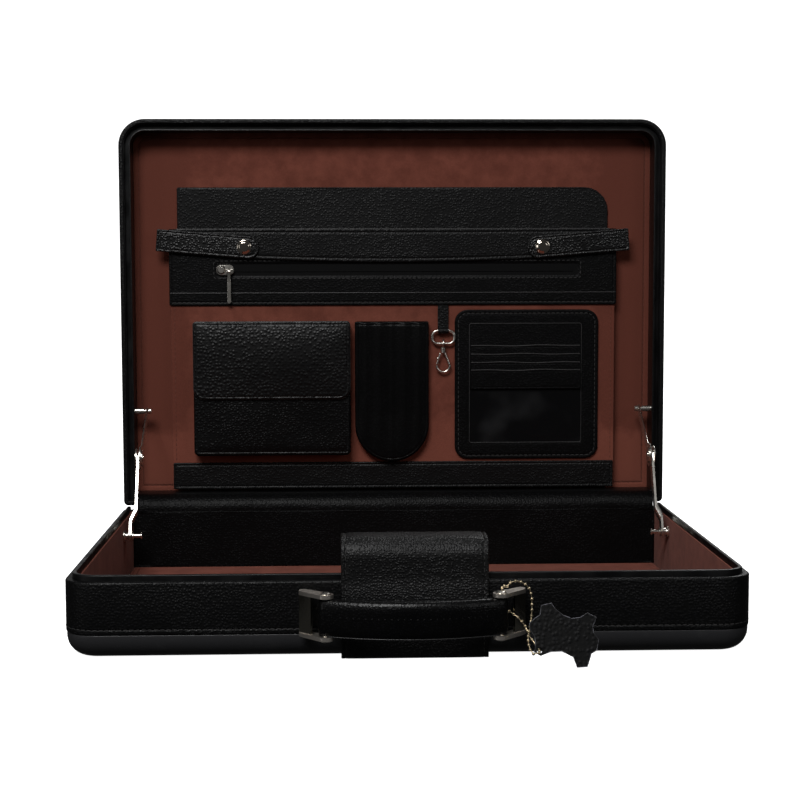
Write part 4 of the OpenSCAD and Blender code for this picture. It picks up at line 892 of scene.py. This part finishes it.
dark_coil.feed("Roughness", 0.3 + 0.2 * dark_coil.noise(400, 2))
tooth = np.array([[x, y, z] for x in (-0.45, 0.45) for y in (175.9, 176.6) for z in (-0.2, 2.0)])
tooth_faces = [[0, 1, 3, 2], [4, 6, 7, 5], [0, 4, 5, 1], [2, 3, 7, 6], [0, 2, 6, 4], [1, 5, 7, 3]]
tooth_x = np.arange(-147.5, 155.5, tooth_pitch)
turned = np.where(np.arange(len(tooth_x)) % 2, 1, -1)
teeth = tooth[None] * np.stack([np.ones_like(turned), np.ones_like(turned), turned], 1)[:, None]
teeth = teeth + np.stack([tooth_x, 0 * tooth_x, 0 * tooth_x + tooth_z], 1)[:, None]
teeth_faces = [[corner + 8 * i for corner in face] for i in range(len(tooth_x)) for face in tooth_faces]
zip_teeth = mesh_of("zip_teeth", teeth, teeth_faces, dark_coil)
riding(zip_teeth, "pocket_front", "zip_cloth")


def straight_edge(name, half_length, y, z):
    """Bead along a level edge that is centred on the case."""
    x = np.linspace(-half_length, half_length, 60)
    return edge_bead(name, np.stack([x, 0 * x + y, 0 * x + z], 1), "pocket_front", closed=False)


straight_edge("zip_fold", 188.4, zip_face + 0.05, 232.5)
for node in ("zip_slider", "zip_pull"):
    softened(node, 0.4)

# Top band and foot strip: two strips of pebbled leather sewn along the top and the foot of the board.
# The top band is cut with a lower edge that sags towards its middle.
band_half, band_h, band_face, band_drop = 183, 21, 173.2, 7
strip_box, strip_face = (-187.5, 187.5, 66, 88.6), 175.5


def band_sag(points):
    """The lower edge hangs in a shallow curve: each point moves down by the sag times its share of depth."""
    share = (pocket_top - points[:, 2]) / band_h
    moved = points.copy()
    moved[:, 2] -= band_drop * (1 - (points[:, 0] / band_half) ** 2) * share
    return moved


band_box = (-band_half, band_half, pocket_top - band_h, pocket_top)
leather_panel("top_band", band_box, square, band_face, zip_face, pebbled_leather, "pocket_front",
              "pebbled_leather", "pocket_top_band", step=3, bend=band_sag)
straight_edge("top_band_edge", band_half - 0.4, band_face + 0.5, pocket_top - 0.1)
leather_panel("foot_strip", strip_box, square, strip_face, board_y, pebbled_leather, "pocket_front",
              "pebbled_leather", "pocket_base_strip", step=3)

# Pouch: a gusseted box of soft pebbled leather, sewn to the board. Its padded flap hangs over the front,
# has a painted edge and a row of stitches, and folds up on its top edge.
pouch_left, pouch_right = -168.7, -37.0
pouch_box = (pouch_left, pouch_right, 95.7, 206.8)
flap_low, flap_top, flap_corners, flap_seam_in = 143.1, 209.1, (10, 10, 3, 3), 2.6
flap_box = (pouch_left, pouch_right, flap_low, flap_top)


def pouch_waves(x, z):
    """Soft leather waves more closely than the large panels."""
    return 0.3 * np.sin(x / 14 + 1) * np.sin(z / 11)


def flap_swell(x, z):
    """The flap is padded: it rises quickly below its fold, is fullest at a third of its height, and waves."""
    down = np.clip((flap_top - z) / (flap_top - flap_low), 0, 1)
    sides = np.clip(np.minimum(x - pouch_left, pouch_right - x) / 14, 0, 1) ** 0.5
    full = (1 - np.exp(-down * 5)) * (1 - 0.75 * down ** 2)
    return 3.0 * full * sides + 0.3 * np.sin(x / 19) * np.sin(z / 13 + 1)


soft_leather = pebbled("soft_leather", cell=2.0, depth=0.3, shine=0.3, level=0.16)
leather_panel("pouch", pouch_box, (4, 4, 2, 2), 162.9, board_y, soft_leather, "pocket_front",
              "pebbled_leather", "pouch_body", edge=2.2, groove_in=3.2, puff=0.5, relief=pouch_waves)
flap_leather = pebbled("flap_leather", cell=2.7, depth=0.36, shine=0.32, level=0.26)
leather_panel("pouch_lid", flap_box, flap_corners, 160.8, 162.7, flap_leather, "pouch_flap",
              "pebbled_leather", "pouch_flap", edge=0.9, groove_in=flap_seam_in, relief=flap_swell, step=3)
edge_bead("pouch_lid_edge", panel_path(flap_box, flap_corners, 0.35, 161.3), "pouch_flap")
flap_seam = panel_path(flap_box, flap_corners, flap_seam_in, 160.9)
stitched("pouch_lid_stitches", flap_seam, (0, -1, 0), "pouch_flap")

# Sleeve: a soft sleeve with a round foot, for spectacles or pens, sewn to the board round its edge.
# Its thin leather is unlined and falls in upright folds, each given as its middle, width and height.
sleeve_box, foot_radius = (-33.1, 29.3, 89.4, 208.2), 31.2
folds = ((-24, 3.5, 1.6), (-12, 4, 1.1), (9, 4.2, 1.3), (21, 3, 1.7))


def sleeve_folds(x, z):
    """Four rounded ridges that fade towards the round foot, and a centre seam."""
    fade = np.clip((z - 100) / 30, 0, 1)
    ridges = sum(height * np.exp(-((x - middle) / width) ** 2) for middle, width, height in folds)
    return fade * (ridges - 1.2) + 0.7 * np.exp(-((x + 1.9) / 0.9) ** 2)


sleeve_leather = pebbled("sleeve_leather", cell=1.6, depth=0.12, shine=0.3, level=0.1)
leather_panel("sleeve", sleeve_box, (foot_radius, foot_radius, 1.5, 1.5), 168.6, board_y, sleeve_leather,
              "pocket_front", "pebbled_leather", "soft_sleeve", edge=2.4, groove_in=2.6, relief=sleeve_folds,
              step=1.5)

# Card holder: a board of finely grained leather sewn to the pocket front, with four stepped slips for cards
# above a clear plastic window. The slips lie one in front of another, each with a painted edge.
card_box, card_corners, card_face, card_seam_in = (51.7, 174.0, 90.6, 217.8), (11, 11, 11, 11), 174.6, 3.0
well_box = (63.7, 159.7, 104.2, 149.2)
slip_left, slip_right, slip_foot, slip_t = 64.9, 158.7, 150.6, 0.7


def window_well(x, z):
    """The window is let into the leather: the face drops inside its frame."""
    return -0.7 * np.clip(inside(x, z, well_box, square) / 0.5, 0, 1)


card_leather = pebbled("card_leather", cell=1.8, depth=0.22, shine=0.4, level=0.08)
leather_panel("card_back", card_box, card_corners, card_face, board_y, card_leather, "pocket_front",
              "smooth_leather", "card_holder", edge=1.0, groove_in=card_seam_in, step=2.2, relief=window_well)
card_seam = panel_path(card_box, card_corners, card_seam_in, card_face + 0.15)
stitched("card_stitches", card_seam, (0, -1, 0), "pocket_front")
field = panel_path((63.8, 159.8, 104.4, 206.5), (2, 2, 2, 2), 0.3, card_face - 0.1)
edge_bead("card_field_edge", field, "pocket_front", radius=0.25)
for i, top in enumerate((187.6, 180.4, 173.4, 166.9)):
    slip_box = (slip_left, slip_right, slip_foot, top)
    slip_face, slip_back = card_face - slip_t * (i + 1), card_face - slip_t * i
    leather_panel(f"card_slip_{i + 1}", slip_box, (0.6, 0.6, 1, 1), slip_face, slip_back, card_leather,
                  "pocket_front", "smooth_leather", edge=0.3, groove_in=1.5, groove=0.15)
    slip_x = np.linspace(slip_left + 0.5, slip_right - 0.5, 50)
    slip_wave = top - 0.2 + 0.5 * np.sin(slip_x / 9 + 2 * i) * np.sin((slip_x - slip_left) / 94 * np.pi)
    slip_line = np.stack([slip_x, 0 * slip_x + slip_face, slip_wave], 1)
    edge_bead(f"card_slip_{i + 1}_edge", slip_line, "pocket_front", closed=False)
window = Finish("clear_window", specular_ior_level=0.6)
haze = window.noise(40, 3)
window.feed("Roughness", 0.08 + 0.14 * haze)
# Painted reflection: a bright patch of noise, read 40 mm aside, is painted into the window's colour as a
# reflection on the plastic.
reflection_shift = window.node("ShaderNodeVectorMath", {"operation": "ADD"}, {0: window.place(), 1: (0.04, 0, 0)})
painted_reflection = window.smooth(window.noise(28, 2, 0.4, where=reflection_shift), 0.5, 0.8)
window.tones(painted_reflection, (0.0015, 0.0015, 0.0018), (0.014, 0.0142, 0.015))
window.relief(haze, 0.4)
dress(window, "card_window")

# Key tab, ring and clasp hang between the sleeve and the card holder: a folded leather tab round a ring of
# nickel wire, and a swivelling clasp of cast and polished nickel with a sprung gate.
dress(pebbled_leather, "key_tab")
dress(nickel, "key_ring", "clasp_eye", "clasp_hook", "clasp_gate")

# Snap straps: two leather straps from the lid walls, which hold the pocket shut. Each slants down to its tip
# and is closed on the top band with a domed snap of polished nickel.
snap_foot_x, snap_z, snap_half_h, snap_corners = 198, 276.99, 9.25, (9, 1, 1, 9)
snap_box = (112.8, snap_foot_x + 0.9, snap_z - snap_half_h, snap_z + snap_half_h)
snap_turn = math.atan(7 / 85)


def strap_slant(side):
    """Turns about the foot so that the tip lies 7 mm below it over 85 mm, and mirrors for the left."""
    def bend(points):
        x, z = points[:, 0] - snap_foot_x, points[:, 2] - snap_z
        across = snap_foot_x + x * math.cos(snap_turn) - z * math.sin(snap_turn)
        up = snap_z + x * math.sin(snap_turn) + z * math.cos(snap_turn)
        return np.column_stack([side * across, points[:, 1], up])

    return bend


snap_leather = pebbled("snap_leather", depth=0.36, shine=0.27, level=0.28)
for side, name in ((-1, "left"), (1, "right")):
    slant = strap_slant(side)
    body = name + "_snap_strap"
    leather_panel(name + "_snap_leather", snap_box, snap_corners, 171.3, 173.1, snap_leather, body,
                  "pebbled_leather", body, edge=0.8, groove_in=2.0, step=2.5, bend=slant)
    edge_bead(name + "_snap_edge", slant(panel_path(snap_box, snap_corners, 0.35, 171.9)), body)
polished = Finish("polished_nickel", metallic=1.0)
wear = polished.noise(90, 4, 0.6)
polished.tones(wear, (0.56, 0.50, 0.42), (0.72, 0.66, 0.58))
polished.feed("Roughness", 0.07 + 0.10 * wear)
polished.relief(polished.noise(240, 2), 0.03)
for node in ("left_snap_cap", "right_snap_cap"):
    softened(node, 0.4, polished)

# Tip clip and hide tag: the strap ends in a folded nickel clip. The tag is cut to the shape of a hide from
# thick grained leather with raw edges, and it leans on the strap from a brass ball chain.
softened("tongue_tip_plate", 0.4)
brass = Finish("brass", metallic=1.0)
dull = brass.noise(600, 3)
brass.tones(dull, (0.42, 0.33, 0.20), (0.74, 0.62, 0.42))
brass.feed("Roughness", 0.25 + 0.2 * dull)
dress(brass, "tag_chain")
tag_leather = pebbled("tag_leather", cell=2.8, depth=0.24, shine=0.4, level=0.12)
softened("hide_tag", 0.5, tag_leather, "pebbled_leather")
tag_w, tag_h, tag_t = 44.5, 41.5, 1.6
tag_corner, tag_lean = (74.5, -201.0, 1.6), math.radians(20)
tag_outline = np.array([
    [0, 0.69], [0.09, 0.77], [0.16, 0.82], [0.18, 0.965], [0.33, 1], [0.38, 0.91], [0.49, 0.81],
    [0.62, 0.755], [0.75, 0.77], [0.85, 0.84], [0.98, 0.77], [0.92, 0.63], [0.93, 0.53], [1, 0.42],
    [0.967, 0.263], [0.885, 0.21], [0.82, 0.01], [0.67, 0], [0.62, 0.16], [0.46, 0.25],
    [0.295, 0.245], [0.15, 0.186], [0.06, 0.245], [0.08, 0.37], [0.066, 0.49], [0, 0.6]
])
raw_edge = Finish("raw_hide_edge", specular_ior_level=0.4)
frayed = raw_edge.noise(260, 3, 0.6)
pale = raw_edge.smooth(frayed, 0.4, 0.65)
raw_edge.tones(pale, (0.012, 0.012, 0.014), (0.12, 0.12, 0.14))
raw_edge.feed("Roughness", 0.4 + 0.2 * frayed)
rim_inset, rim_sink = 0.5, 0.15
tag_face = tag_outline * (tag_w, tag_h)
tag_middle = tag_face.mean(0)
tag_face = tag_middle + (tag_face - tag_middle) * (1 - rim_inset / tag_h)
out, up = rim_sink - tag_t, tag_face[:, 1]
tag_rim = np.column_stack([tag_face[:, 0], out * math.cos(tag_lean) + up * math.sin(tag_lean),
                           up * math.cos(tag_lean) - out * math.sin(tag_lean)]) + tag_corner
edge_bead("tag_edge", tag_rim, "hide_tag", "pebbled_leather", radius=0.28, finish=raw_edge)
